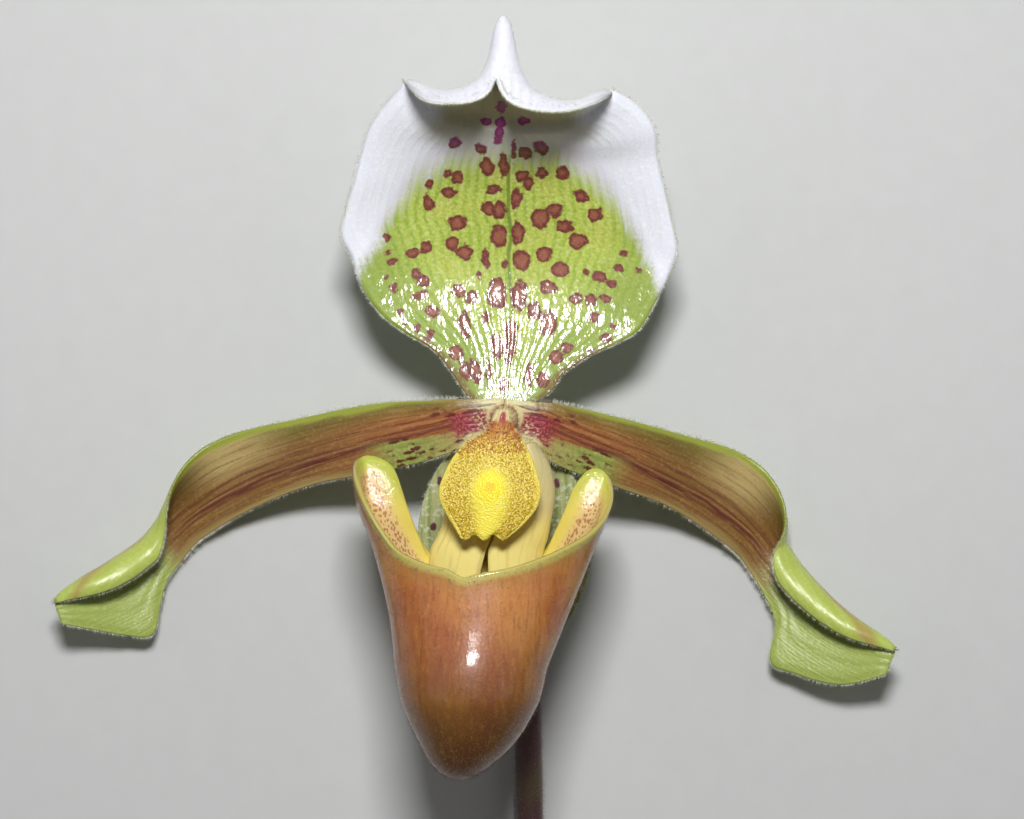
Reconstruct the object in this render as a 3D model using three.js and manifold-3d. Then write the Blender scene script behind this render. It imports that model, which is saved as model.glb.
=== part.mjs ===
// One bloom of a slipper orchid, Paphiopedilum, as picked. It lies on its back with its cut stem
// along the surface. Millimetres: the flower faces +Z, its upright sepal points along +Y and its
// stem along -Y. Every piece is laid out from the flower's centre, where sepals, petals and lip meet.
import * as THREE from 'three';
import { mergeVertices } from 'three/addons/utils/BufferGeometryUtils.js';
import Module from 'manifold-3d';

const wasm = await Module();
wasm.setup();

// Driving dimensions
const bladeThickness = 0.8; // sepals, petals and staminode
const lipWall = 1.0;
const bractThickness = 0.7;
const bractTip = 1.8; // of the bract, along X
const clearance = 0.3; // between pieces that touch on the plant
const centre = { x: 0.2, y: -1.6 }; // axis of the ovary where it meets the flower
const columnFoot = { x: 0.2, y: -2.2 }; // where the column stands between the petals
const columnRadius = 1.6;
const ovaryTop = -4.3;
const joint = new THREE.Vector3(2.9, -30, -13.85); // ovary meets stem
const stemRadius = 1.65; // at the cut end
const stemTaper = 0.06; // how much thicker it is at the joint, as a share
const stemEnd = new THREE.Vector3(3.6, -95, -15.0);
const toe = -42.9; // lowest point of the pouch, along Y
const earTip = -6.6; // highest point of its ears

// ---------------------------------------------------------------- shared geometry

// A smooth line through rows of [t, value, value, ...], which gives the values at t.
function through(rows, t) {
  let i = 0;
  while (i < rows.length - 2 && t > rows[i + 1][0]) i += 1;
  const span = rows[i + 1][0] - rows[i][0];
  const f = THREE.MathUtils.clamp((t - rows[i][0]) / span, 0, 1);
  const slope = (j, k) => {
    const before = rows[Math.max(j - 1, 0)];
    const after = rows[Math.min(j + 1, rows.length - 1)];
    return (after[k] - before[k]) / (after[0] - before[0]);
  };
  return rows[i].slice(1).map((value, n) => {
    const k = n + 1;
    const start = value * (1 + 2 * f) * (1 - f) ** 2 + slope(i, k) * span * f * (1 - f) ** 2;
    return start + rows[i + 1][k] * f * f * (3 - 2 * f) - slope(i + 1, k) * span * f * f * (1 - f);
  });
}

// Where an arc of a given length has turned by a given angle: how far along, and how far up.
function arc(length, degrees) {
  const angle = THREE.MathUtils.degToRad(degrees);
  if (Math.abs(angle) < 1e-3) return [length, 0];
  return [(length * Math.sin(angle)) / angle, (length * (1 - Math.cos(angle))) / angle];
}

// One closed body from points and triangles, with shared corners merged.
function closedBody(points, triangles) {
  const geometry = new THREE.BufferGeometry().setFromPoints(points);
  geometry.setIndex(triangles.flat());
  const merged = mergeVertices(geometry, 1e-4);
  const index = [...merged.index.array];
  const kept = [];
  for (let i = 0; i < index.length; i += 3) {
    const [a, b, c] = index.slice(i, i + 3);
    if (a !== b && b !== c && c !== a) kept.push(a, b, c);
  }
  merged.setIndex(kept);
  return merged;
}

// A thin closed blade over point(u, v), with u from -1 to 1 across and v from 0 to 1 along.
// Both faces have the same triangles, so they never cross where the blade waves. A cup closes
// on itself across, and all its columns start from one point.
function blade(point, across, along, thickness, cup = false) {
  const columns = cup ? across : across + 1;
  const wrap = (i) => (cup ? (i + across) % across : THREE.MathUtils.clamp(i, 0, across));
  const grid = [];
  for (let j = 0; j <= along; j += 1) {
    const row = [];
    for (let i = 0; i < columns; i += 1) row.push(point((2 * i) / across - 1, j / along));
    grid.push(row);
  }
  const normalAt = (i, j) => {
    const east = grid[j][wrap(i + 1)].clone().sub(grid[j][wrap(i - 1)]);
    const north = grid[Math.min(j + 1, along)][i].clone().sub(grid[Math.max(j - 1, 0)][i]);
    return east.cross(north).normalize();
  };
  const poleNormal = new THREE.Vector3();
  if (cup) for (let i = 0; i < columns; i += 1) poleNormal.add(normalAt(i, 1));
  poleNormal.normalize();
  const points = [];
  for (const side of [0.5, -0.5]) {
    for (let j = 0; j <= along; j += 1) {
      for (let i = 0; i < columns; i += 1) {
        const normal = cup && j === 0 ? poleNormal : normalAt(i, j);
        points.push(grid[j][i].clone().addScaledVector(normal, side * thickness));
      }
    }
  }
  const back = columns * (along + 1);
  const at = (i, j) => j * columns + wrap(i);
  const triangles = [];
  for (let j = 0; j < along; j += 1) {
    for (let i = 0; i < across; i += 1) {
      const [a, b, c, d] = [at(i, j), at(i + 1, j), at(i + 1, j + 1), at(i, j + 1)];
      triangles.push([a, b, c], [a, c, d], [a + back, c + back, b + back], [a + back, d + back, c + back]);
    }
  }
  const rim = [];
  if (!cup) {
    for (let i = 0; i < across; i += 1) rim.push([at(i, 0), at(i + 1, 0)]);
    for (let j = 0; j < along; j += 1) {
      rim.push([at(across, j), at(across, j + 1)], [at(0, j + 1), at(0, j)]);
    }
  }
  for (let i = 0; i < across; i += 1) rim.push([at(i + 1, along), at(i, along)]);
  for (const [p, q] of rim) triangles.push([p, p + back, q + back], [p, q + back, q]);
  return closedBody(points, triangles);
}

// A closed stalk along a curve, with radius(t, angle) at each place.
function stalk(curve, radius, sides, steps) {
  const geometry = new THREE.CylinderGeometry(1, 1, 1, sides, steps);
  geometry.deleteAttribute('normal');
  geometry.deleteAttribute('uv');
  const frames = curve.computeFrenetFrames(steps, false);
  const position = geometry.attributes.position;
  for (let i = 0; i < position.count; i += 1) {
    const step = Math.round((position.getY(i) + 0.5) * steps);
    const angle = Math.atan2(position.getX(i), position.getZ(i));
    const size = radius(step / steps, angle) * Math.hypot(position.getX(i), position.getZ(i));
    const place = curve.getPointAt(step / steps);
    place.addScaledVector(frames.binormals[step], size * Math.sin(angle));
    place.addScaledVector(frames.normals[step], size * Math.cos(angle));
    position.setXYZ(i, place.x, place.y, place.z);
  }
  return mergeVertices(geometry, 1e-4);
}

// A smooth egg shape with its own half-sizes, turned about X, at a place.
function egg(sizes, place, turn, sides = 12) {
  const geometry = new THREE.SphereGeometry(1, sides, sides - 4);
  geometry.deleteAttribute('normal');
  geometry.deleteAttribute('uv');
  geometry.scale(...sizes).rotateX(turn).translate(...place);
  return mergeVertices(geometry, 1e-4);
}

function solidOf(geometry) {
  const mesh = { numProp: 3, vertProperties: geometry.attributes.position.array };
  return new wasm.Manifold(new wasm.Mesh({ ...mesh, triVerts: new Uint32Array(geometry.index.array) }));
}

// Several closed bodies that grow together, joined in one.
function grownTogether(geometries) {
  const joined = geometries.map(solidOf).reduce((whole, next) => whole.add(next));
  const mesh = joined.getMesh();
  const geometry = new THREE.BufferGeometry();
  geometry.setAttribute('position', new THREE.BufferAttribute(new Float32Array(mesh.vertProperties), 3));
  geometry.setIndex([...mesh.triVerts]);
  return geometry;
}

function piece(name, geometry, colour, roughness) {
  const material = new THREE.MeshStandardMaterial({ color: colour, roughness, metalness: 0 });
  const mesh = new THREE.Mesh(geometry, material);
  mesh.name = name;
  return mesh;
}

// ---------------------------------------------------------------- upright sepal

// Its two margins, from the base up to the corners of the hood: [v, x, y, z]
const sepalLeft = [
  [0, -2.6, -0.9, -3.2], [0.06, -4.6, 0.9, -3.1], [0.13, -6, 3, -3], [0.22, -8.4, 6, -2.9],
  [0.31, -11.8, 8.1, -2.8], [0.4, -14.7, 10.3, -2.8], [0.5, -17.2, 13.8, -2.6],
  [0.58, -18.3, 17.3, -2.3], [0.64, -19.5, 19.6, -1.8], [0.71, -19, 22.4, -1.1],
  [0.78, -18.1, 25.4, -0.1], [0.85, -17.1, 28.9, 1],
  [0.92, -15.7, 32.8, 2.6], [1, -11.5, 37.6, 5.5],
];
const sepalRight = [
  [0, 3, -0.9, -3.2], [0.06, 5.6, 0.9, -3.1], [0.13, 7.3, 3.2, -3], [0.22, 10.6, 5.4, -2.9],
  [0.31, 14, 7, -2.8], [0.4, 16.5, 8.6, -2.8], [0.5, 18.5, 12, -2.6], [0.58, 20.4, 16.1, -2.3],
  [0.64, 20.9, 18.2, -1.8], [0.71, 20.3, 21.2, -1.1], [0.78, 19.4, 24.8, -0.1], [0.85, 18.5, 28.8, 1],
  [0.92, 18, 32.3, 2.6], [0.96, 15.9, 35, 3.9], [1, 12.8, 36.6, 5.5],
];
// Its midrib, which leans back and then curves forward: [v, y, z]
const sepalMidrib = [
  [0, -0.9, -3.2], [0.13, 3.7, -3.9], [0.31, 10.4, -4.85], [0.5, 17.6, -4.8], [0.71, 24.6, -1.9],
  [0.85, 28.5, 1], [1, 31.8, 4.8],
];
// The hood: the share of the blade where it starts, how far it stands forward, how far it rolls in
// degrees, and how fast it narrows to its corners.
const hood = { start: 0.78, depth: 10.5, roll: 140, narrowing: 0.55 };
// Its top line and its lower edge, which rises to a notch in the middle: [x, y]
const hoodCrest = [
  [-11.5, 37.4], [-10.1, 36.9], [-8.2, 35.9], [-6, 35.6], [-2.5, 35.5], [0, 35.2], [3, 34.7],
  [5.3, 34.5], [7.1, 34.4], [9, 34.7], [10.9, 35.6], [12.9, 36.2],
];
const hoodEdge = [
  [-11.5, 37.3], [-9.8, 35.2], [-8.2, 34.3], [-6.4, 34], [-4.5, 34], [-2.2, 34.6], [-0.75, 36.4],
  [0.1, 34.7], [0.85, 34], [2.2, 33.4], [4.3, 33], [6.2, 33], [8.1, 33.3], [9.9, 34], [11.2, 34.7],
  [12.9, 36],
];

function sepalBody(u, v) {
  const left = through(sepalLeft, v);
  const right = through(sepalRight, v);
  const [y, z] = through(sepalMidrib, v);
  const share = (u + 1) / 2;
  const [x, edgeY, edgeZ] = left.map((value, k) => value + (right[k] - value) * share);
  const crown = 1 - Math.abs(u) ** (2 + 2 * v ** 3);
  const midY = (left[1] + right[1]) / 2;
  const midZ = (left[2] + right[2]) / 2;
  return new THREE.Vector3(x, edgeY + (y - midY) * crown, edgeZ + (z - midZ) * (1 - u * u));
}

// Above the body the blade rises to the crest of the hood and rolls forward and down to its edge.
function sepalPoint(u, v) {
  if (v <= hood.start) return sepalBody(u, v / hood.start);
  const roll = THREE.MathUtils.degToRad(hood.roll);
  const turned = (roll * (v - hood.start)) / (1 - hood.start);
  const point = sepalBody(u, 1);
  const [crest] = through(hoodCrest, point.x);
  const [edge] = through(hoodEdge, point.x);
  if (turned < Math.PI / 2) {
    point.y += (crest - point.y) * Math.sin(turned);
  } else {
    point.y = edge + ((crest - edge) * (Math.sin(turned) - Math.sin(roll))) / (1 - Math.sin(roll));
  }
  const depth = hood.depth * (1 - u * u) ** hood.narrowing;
  point.z += (depth * (1 - Math.cos(turned))) / (1 - Math.cos(roll));
  return point;
}

// The horn at the top of the hood: its axis, and its radius that flares into the hood.
const hornAxis = new THREE.CatmullRomCurve3([
  new THREE.Vector3(0.1, 34.4, 10.8), new THREE.Vector3(0.1, 39.2, 11.8),
  new THREE.Vector3(0.15, 44.2, 11.9),
]);
const hornRadius = [
  [0, 2.2], [0.15, 2.7], [0.31, 2.6], [0.42, 2.1], [0.52, 1.8], [0.64, 1.55], [0.84, 1.2], [0.95, 0.8],
  [1, 0.35],
];

const dorsalSepal = piece(
  'dorsal_sepal',
  grownTogether([
    blade(sepalPoint, 32, 22, bladeThickness),
    stalk(hornAxis, (t) => through(hornRadius, t)[0], 10, 8),
  ]),
  '#b9c47a',
  0.5,
);

// ---------------------------------------------------------------- petals

// Midrib: [s, x, y, z]. Shape: [s, upper width, lower width, roll of the upper half, curl of the
// lower half, lean of the whole blade], in mm and degrees, where a positive lean brings the upper
// margin forward.
const leftPetal = {
  midrib: [
    [0, -2.2, -1.9, -1.3], [0.1, -6.8, -3.4, -2.2], [0.25, -15, -5.3, -5.4], [0.4, -24, -7.9, -9.4],
    [0.55, -32.5, -11.2, -13], [0.68, -39.4, -15.2, -15.4], [0.78, -43.9, -19.3, -15.4],
    [0.88, -48.8, -22.5, -13], [1, -55.5, -25, -9],
  ],
  shape: [
    [0, 2.3, 1.7, 0, 0, 0], [0.1, 3.5, 3, 0, 20, 0], [0.25, 4.9, 3.4, 0, 0, -4],
    [0.4, 5.8, 2.6, 8, 0, -10], [0.55, 7.2, 2.7, 45, 0, -14], [0.64, 7.7, 2.7, 108, 0, -12],
    [0.72, 7.1, 2.7, 168, 0, -6], [0.79, 7.8, 3.5, 202, 0, 0], [0.83, 7.8, 5.6, 206, 0, 0],
    [0.865, 7.8, 8.3, 208, 0, 0], [0.9, 7.2, 6.9, 207, 0, 0], [0.94, 5.8, 5.1, 204, 0, 0],
    [1, 1.2, 2.8, 195, 0, 0],
  ],
};
const rightPetal = {
  midrib: [
    [0, 2.6, -2.1, -1.3], [0.1, 6.8, -4.1, -2.4], [0.25, 14, -7, -6], [0.4, 20.8, -10.4, -10.2],
    [0.52, 26, -13.4, -13.2], [0.64, 30.8, -17.1, -15.4], [0.72, 33.4, -20.2, -15.7],
    [0.82, 37.7, -24.9, -14], [0.91, 42.6, -28.5, -11.5], [1, 48.4, -30.9, -8.5],
  ],
  shape: [
    [0, 2.5, 1.7, 0, 0, 0], [0.1, 3.6, 3.5, 0, 20, 0], [0.25, 4.8, 3.5, 0, 0, -4],
    [0.4, 6.4, 2.7, 6, 0, -10], [0.52, 7.9, 2.8, 36, 0, -14], [0.62, 8.3, 2.7, 96, 0, -12],
    [0.7, 7.9, 2.6, 158, 0, -6], [0.77, 8.7, 3.3, 200, 0, 0], [0.815, 8.5, 4.8, 206, 0, 0],
    [0.845, 8, 8.7, 207, 0, 0], [0.88, 7.2, 8.1, 208, 0, 0], [0.94, 5.2, 6.4, 204, 0, 0],
    [1, 1.2, 3.2, 195, 0, 0],
  ],
};
const petalStep = 0.01; // of its length, over which the midrib's direction is taken
const petalRoot = 0.05; // of its length, drawn in round the column and, above it, to the other petal
const petalSlit = 0.2; // half the slit between the petals

function petalPoint(petal, t, s) {
  const behind = new THREE.Vector3(...through(petal.midrib, Math.max(s - petalStep, 0)));
  const tangent = new THREE.Vector3(...through(petal.midrib, Math.min(s + petalStep, 1)));
  tangent.sub(behind).normalize();
  const facing = new THREE.Vector3(0, 0, 1).addScaledVector(tangent, -tangent.z).normalize();
  const upward = facing.clone().cross(tangent);
  if (upward.y < 0) upward.negate();
  const [upper, lower, roll, curl, leaning] = through(petal.shape, s);
  const lean = THREE.MathUtils.degToRad(leaning);
  const across = upward.clone().multiplyScalar(Math.cos(lean)).addScaledVector(facing, Math.sin(lean));
  const forward = facing.clone().multiplyScalar(Math.cos(lean)).addScaledVector(upward, -Math.sin(lean));
  const [reach, rise] = t >= 0 ? arc(upper * t, roll * t) : arc(lower * t, curl * t);
  const point = new THREE.Vector3(...through(petal.midrib, s));
  point.addScaledVector(across, reach).addScaledVector(forward, rise);
  if (s < petalRoot) {
    const notch = (columnRadius + clearance + 0.15) ** 2 - (point.y - columnFoot.y) ** 2;
    const inner = columnFoot.x + Math.sign(point.x) * Math.max(Math.sqrt(Math.max(notch, 0)), petalSlit);
    point.x = THREE.MathUtils.lerp(inner, point.x, s / petalRoot);
  }
  return point;
}

const petals = Object.entries({ petal_left: leftPetal, petal_right: rightPetal }).map(([name, petal]) =>
  piece(name, blade((u, v) => petalPoint(petal, u, v), 12, 40, bladeThickness), '#a86a3f', 0.5));

// ---------------------------------------------------------------- lip

// Cross-sections of the pouch, by the root of the height above the toe, so that the toe is round.
// The belly stands forward of the rim: [k, middle x, half-width, middle z, half-depth]
const pouchSections = [
  [0, -4.9, 0, 14.7, 0], [0.21, -4.6, 3.1, 14.65, 3.15], [0.34, -4, 5.2, 14.4, 5.2],
  [0.48, -3.7, 7.4, 13.75, 7.45], [0.52, -3.65, 7.8, 13.25, 8.05], [0.58, -3.6, 8.35, 12.35, 8.65],
  [0.64, -3.2, 9.05, 11.45, 8.85], [0.72, -2.7, 10.15, 10.55, 8.8], [0.84, -2.2, 12.45, 9.4, 8.9],
  [0.92, -2.2, 14.5, 9.6, 9], [0.96, -2.25, 14.8, 9.9, 9.2], [1, -2.25, 14.7, 10.1, 9.3],
];
// Rim from the front round to the back: [share of the half turn, angle, height]. It rises into an
// ear on each side.
const leftRim = [
  [0, 0, -19.7], [0.1, 18, -19.2], [0.2, 36, -18.3], [0.29, 52, -16.8], [0.36, 60, -14.4],
  [0.43, 67, -11.3], [0.49, 80, -8.6], [0.54, 98, -7], [0.59, 118, -6.7], [0.64, 133, -7.8],
  [0.69, 139, -10.5], [0.75, 141, -14], [0.81, 144, -17], [0.86, 150, -18.6], [0.93, 165, -19.2],
  [1, 180, -19.4],
];
const rightRim = [
  [0, 0, -19.7], [0.1, 18, -18.9], [0.2, 36, -17.6], [0.29, 51, -16.4], [0.36, 64, -15.3],
  [0.43, 80, -13.3], [0.49, 93, -10.8], [0.54, 104, -9], [0.59, 115, -8.2], [0.64, 126, -8.5],
  [0.69, 135, -10.5], [0.75, 139, -13.8], [0.81, 142, -17], [0.86, 148, -18.6], [0.93, 165, -19.2],
  [1, 180, -19.4],
];

// The ears open to the front: their outer part leans back and their inner edge comes forward.
// Each shift is [mm along Z, angle where it is greatest, spread in degrees].
const earShifts = [[-3.2, 98, 22], [1.65, 146, 20]];
const earRise = [-18.5, -10]; // heights between which the shifts grow
const earLean = { from: -14.5, by: 0.07 }; // the height above which the ears lean back, and how far

// Where the pouch's wall is at an angle from the front and a height along Y
function pouchWall(degrees, y) {
  const k = Math.sqrt(Math.max(y - toe, 0) / (earTip - toe));
  const [x, width, z, depth] = through(pouchSections, k);
  const angle = THREE.MathUtils.degToRad(degrees);
  const shift = earShifts.reduce(
    (sum, [size, at, spread]) => sum + size * Math.exp(-(((Math.abs(degrees) - at) / spread) ** 2)), 0);
  const lean = earLean.by * Math.max(y - earLean.from, 0) ** 1.5;
  const ear = THREE.MathUtils.smoothstep(y, ...earRise) * shift - lean;
  return new THREE.Vector3(x + width * Math.sin(angle), y, z + depth * Math.cos(angle) + ear);
}

// u goes once round, from back to back, and v from the toe to the rim.
function pouchPoint(u, v) {
  const side = Math.sign(u) || 1;
  const [rimAngle, rimHeight] = through(u < 0 ? leftRim : rightRim, Math.abs(u));
  const drawn = THREE.MathUtils.smoothstep(v, 0.3, 1);
  const angle = THREE.MathUtils.lerp(180 * Math.abs(u), rimAngle, drawn);
  const y = toe + (rimHeight - toe) * (1 - Math.cos((v * Math.PI) / 2));
  return pouchWall(side * angle, y);
}

// The claw is a short tube from the flower's centre down into the pouch, slit along its front,
// where the lip's side lobes fold in: [y, middle x, half-width, angle from the back to the slit]
const clawSections = [
  [0, -5.2, 0.3, 3.4, 135], [0.15, -7.9, 0, 5.3, 146], [0.35, -11.4, -0.3, 6.3, 161],
  [0.52, -14.5, -0.5, 6.1, 170], [0.63, -16.4, -1.2, 6.3, 173], [0.73, -18, -1.9, 6.4, 172],
  [1, -23, -2.4, 6.2, 166],
];
const clawMiddle = 2.8; // along Z
const clawDepth = 3.1; // half of it

function clawPoint(u, v) {
  const [y, x, width, reach] = through(clawSections, v);
  const angle = THREE.MathUtils.degToRad(reach * u);
  return new THREE.Vector3(x + width * Math.sin(angle), y, clawMiddle - clawDepth * Math.cos(angle));
}

const lip = piece(
  'lip',
  grownTogether([blade(pouchPoint, 38, 13, lipWall, true), blade(clawPoint, 16, 11, bladeThickness)]),
  '#a8582c',
  0.4,
);

// ---------------------------------------------------------------- staminode

// The shield in front of the column: [v, y, middle x, half-width, z]
const shield = [
  [0, -1.2, 0, 0.6, 6.6], [0.08, -2.4, -0.15, 0.9, 6.9], [0.14, -3.3, -0.2, 1.45, 7.3],
  [0.19, -4.1, -0.25, 2.1, 7.7], [0.24, -4.9, -0.8, 3.15, 8.05], [0.3, -5.8, -1.05, 3.9, 8.4],
  [0.38, -7, -1.25, 4.65, 8.8], [0.5, -8.9, -1.4, 5.45, 9.3], [0.62, -10.8, -1.5, 5.9, 9.6],
  [0.74, -12.6, -1.5, 5.4, 9.7], [0.86, -14.4, -1.7, 4.1, 9.6], [1, -16, -2.2, 2.6, 9.3],
];
const shieldCrown = 1.3; // how far its sides fall back
const shieldLobes = 0.25; // height of the three small lobes on its lower edge
const umbo = { v: 0.6, height: 0.7, spread: 0.16, length: 0.5 };

function shieldPoint(u, v) {
  const [y, x, width, z] = through(shield, v);
  const lobes = shieldLobes * Math.cos(3 * Math.PI * u) * v ** 8;
  const crown = -shieldCrown * u * u * Math.min(width / 5, 1);
  const boss = umbo.height * Math.exp(-((u ** 2 + ((v - umbo.v) / umbo.length) ** 2) / umbo.spread));
  return new THREE.Vector3(x + u * width, y + lobes, z + crown + boss);
}

const staminode = piece('staminode', blade(shieldPoint, 14, 14, bladeThickness), '#dcb93a', 0.45);

// ---------------------------------------------------------------- column

const columnAxis = new THREE.CatmullRomCurve3([
  new THREE.Vector3(columnFoot.x, columnFoot.y, -2.3), new THREE.Vector3(columnFoot.x, columnFoot.y, 1.2),
  new THREE.Vector3(-0.2, -2.7, 5.6),
]);
const columnSizes = [[0, columnRadius], [0.4, columnRadius], [0.75, 1.5], [1, 1.1]];
const stigma = new THREE.Vector3(-0.1, -6.9, 2.6);
const stigmaStalk = new THREE.LineCurve3(new THREE.Vector3(0, -2.8, stigma.z), stigma);
const stigmaStalkRadius = 0.7;
const stigmaSize = [1.5, 1.7, 0.7]; // half-sizes
const stigmaTurn = 0.5;
const antherSize = [0.9, 0.85, 0.85];
const anthers = [[1.05, -4.1, 4.3], [-1.45, -4.1, 4.3]];
const column = piece(
  'column',
  grownTogether([
    stalk(columnAxis, (t) => through(columnSizes, t)[0], 14, 8),
    stalk(stigmaStalk, () => stigmaStalkRadius, 8, 2),
    egg(stigmaSize, stigma.toArray(), stigmaTurn),
    ...anthers.map((place) => egg(antherSize, place, 0)),
  ]),
  '#d9c98a',
  0.5,
);

// ---------------------------------------------------------------- lower sepals, grown together

// [v, y, middle x, half-width, z]
const lowerSepal = [
  [0, -2.4, 0.2, 2.6, -3.2], [0.1, -5.2, 0.1, 5.2, -3.7], [0.2, -8.4, 0, 8, -5.1],
  [0.35, -13.4, 0.1, 10.1, -5.9], [0.5, -18.5, 0.2, 10.5, -6.3], [0.62, -22.5, 0.2, 9.9, -7],
  [0.75, -27, 0, 8, -7.9], [0.87, -32, -0.2, 5, -8.8], [0.95, -35.6, -0.3, 2.4, -9.2],
  [1, -37.5, -0.3, 0.7, -9.3],
];
const lowerSepalCup = 1.6; // how far its margins stand forward

function lowerSepalPoint(u, v) {
  const [y, x, width, z] = through(lowerSepal, v);
  const cup = lowerSepalCup * u * u * Math.min(width / 10, 3 * v);
  return new THREE.Vector3(x + u * width, y, z + cup);
}

const synsepal = piece('synsepal', blade(lowerSepalPoint, 10, 16, bladeThickness), '#8fa35a', 0.55);

// ---------------------------------------------------------------- ovary, bract and stem

// The ovary leaves the stem along +Y and bends up to the back of the flower.
const ovaryAxis = new THREE.CubicBezierCurve3(
  joint,
  new THREE.Vector3(2, -17, -13.8),
  new THREE.Vector3(centre.x, centre.y - 0.4, -13),
  new THREE.Vector3(centre.x, centre.y, ovaryTop),
);
const ovarySizes = [[0, 1.7], [0.25, 1.85], [0.6, 2.1], [0.88, 2.2], [1, 2.8]];
const ovaryRibs = 3;
const ribHeight = 0.14; // of the radius
const ovaryRadius = (t, angle) =>
  through(ovarySizes, t)[0] * (1 + ribHeight * Math.cos(ovaryRibs * angle) * Math.sin(Math.PI * t));
const ovary = piece('ovary', stalk(ovaryAxis, ovaryRadius, 15, 14), '#6d6a3a', 0.6);

const stemAxis = new THREE.CatmullRomCurve3([
  joint.clone().add(new THREE.Vector3(0, -clearance, 0)), new THREE.Vector3(3.4, -58, -14.5), stemEnd,
]);
const stemSize = (t) => stemRadius * (1 + stemTaper * (1 - t));
const stem = piece('stem', stalk(stemAxis, stemSize, 12, 10), '#4a2f33', 0.65);

// The bract is a keeled sheath. It clasps the joint, opens upwards and ends in a point, and its keel
// lies on the surface: [v, y, radius, half its wrap in degrees, keel z]
const sheath = [
  [0, -32.4, 2.5, 138, -16.3], [0.12, -29, 2.6, 128, -16.3], [0.35, -23, 3.1, 104, -16.3],
  [0.6, -16, 3.4, 84, -16.3], [0.8, -10.5, 2.8, 66, -16.3], [0.93, -6.9, 2.1, 44, -16.2],
  [1, -5, 1.6, 20, -16],
];

function sheathPoint(u, v) {
  const [y, radius, wrap, keel] = through(sheath, v);
  const angle = THREE.MathUtils.degToRad(wrap * u);
  const x = THREE.MathUtils.lerp(joint.x, bractTip, v);
  return new THREE.Vector3(x + radius * Math.sin(angle), y, keel + radius * (1 - Math.cos(angle)));
}

const bract = piece('bract', blade(sheathPoint, 10, 12, bractThickness), '#7d8f4a', 0.6);

// ---------------------------------------------------------------- the bloom

const bloom = new THREE.Group();
bloom.add(dorsalSepal, ...petals, lip, staminode, column, synsepal, ovary, bract, stem);

// The origin is under the middle of the bloom, on the surface that it lies on.
const box = new THREE.Box3().setFromObject(bloom);
const middle = box.getCenter(new THREE.Vector3());
bloom.position.set(-middle.x, -middle.y, -box.min.z);

export default bloom;
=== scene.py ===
import math
import random

import bmesh
import bpy
from mathutils import Matrix, Vector, kdtree, noise


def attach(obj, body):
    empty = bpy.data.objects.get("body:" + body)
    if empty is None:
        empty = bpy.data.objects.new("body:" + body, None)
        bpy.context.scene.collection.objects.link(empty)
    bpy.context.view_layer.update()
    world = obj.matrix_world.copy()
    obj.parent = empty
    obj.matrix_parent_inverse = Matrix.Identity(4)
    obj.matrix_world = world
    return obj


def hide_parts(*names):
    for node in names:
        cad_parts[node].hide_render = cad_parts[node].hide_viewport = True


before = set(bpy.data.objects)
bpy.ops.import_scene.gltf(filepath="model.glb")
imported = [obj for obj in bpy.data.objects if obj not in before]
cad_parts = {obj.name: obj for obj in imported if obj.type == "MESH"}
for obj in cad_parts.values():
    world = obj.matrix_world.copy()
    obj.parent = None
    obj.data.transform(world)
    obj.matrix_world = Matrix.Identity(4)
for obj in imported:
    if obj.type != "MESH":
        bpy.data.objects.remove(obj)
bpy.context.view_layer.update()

scene = bpy.context.scene
random.seed(7)

stemEnd = Vector((3.6, -95, -15))  # middle of the stem's cut end, in mm


def findCentre():  # where the flower's centre stands in the frame, in metres
    corners = [v.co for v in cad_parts["stem"].data.vertices]
    reach = min(c.y for c in corners) + 0.001
    ends = {tuple(round(n, 6) for n in c) for c in corners if c.y < reach}
    middle = sum((Vector(c) for c in ends), Vector()) / len(ends)
    return middle - stemEnd * 0.001


flowerCentre = findCentre()


def place(point):  # millimetres from the flower's centre, to metres in the frame
    return Vector(point) * 0.001 + flowerCentre


def through(rows, t):  # a smooth line through rows of [t, value, value, ...]
    i = 0
    while i < len(rows) - 2 and t > rows[i + 1][0]:
        i += 1
    span = rows[i + 1][0] - rows[i][0]
    f = min(max((t - rows[i][0]) / span, 0), 1)
    last = len(rows) - 1

    def slope(j, k):
        before, after = rows[max(j - 1, 0)], rows[min(j + 1, last)]
        return (after[k] - before[k]) / (after[0] - before[0])

    values = []
    for k in range(1, len(rows[0])):
        start = rows[i][k] * (1 + 2 * f) * (1 - f) ** 2 + slope(i, k) * span * f * (1 - f) ** 2
        end = rows[i + 1][k] * f * f * (3 - 2 * f) - slope(i + 1, k) * span * f * f * (1 - f)
        values.append(start + end)
    return values


def arc(length, degrees):  # how far along, and how far up, an arc ends
    angle = math.radians(degrees)
    if abs(angle) < 1e-3:
        return length, 0
    return length * math.sin(angle) / angle, length * (1 - math.cos(angle)) / angle


def ease(low, high, value):
    t = min(max((value - low) / (high - low), 0), 1)
    return t * t * (3 - 2 * t)


def lerp(a, b, t):
    return a + (b - a) * t


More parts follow.
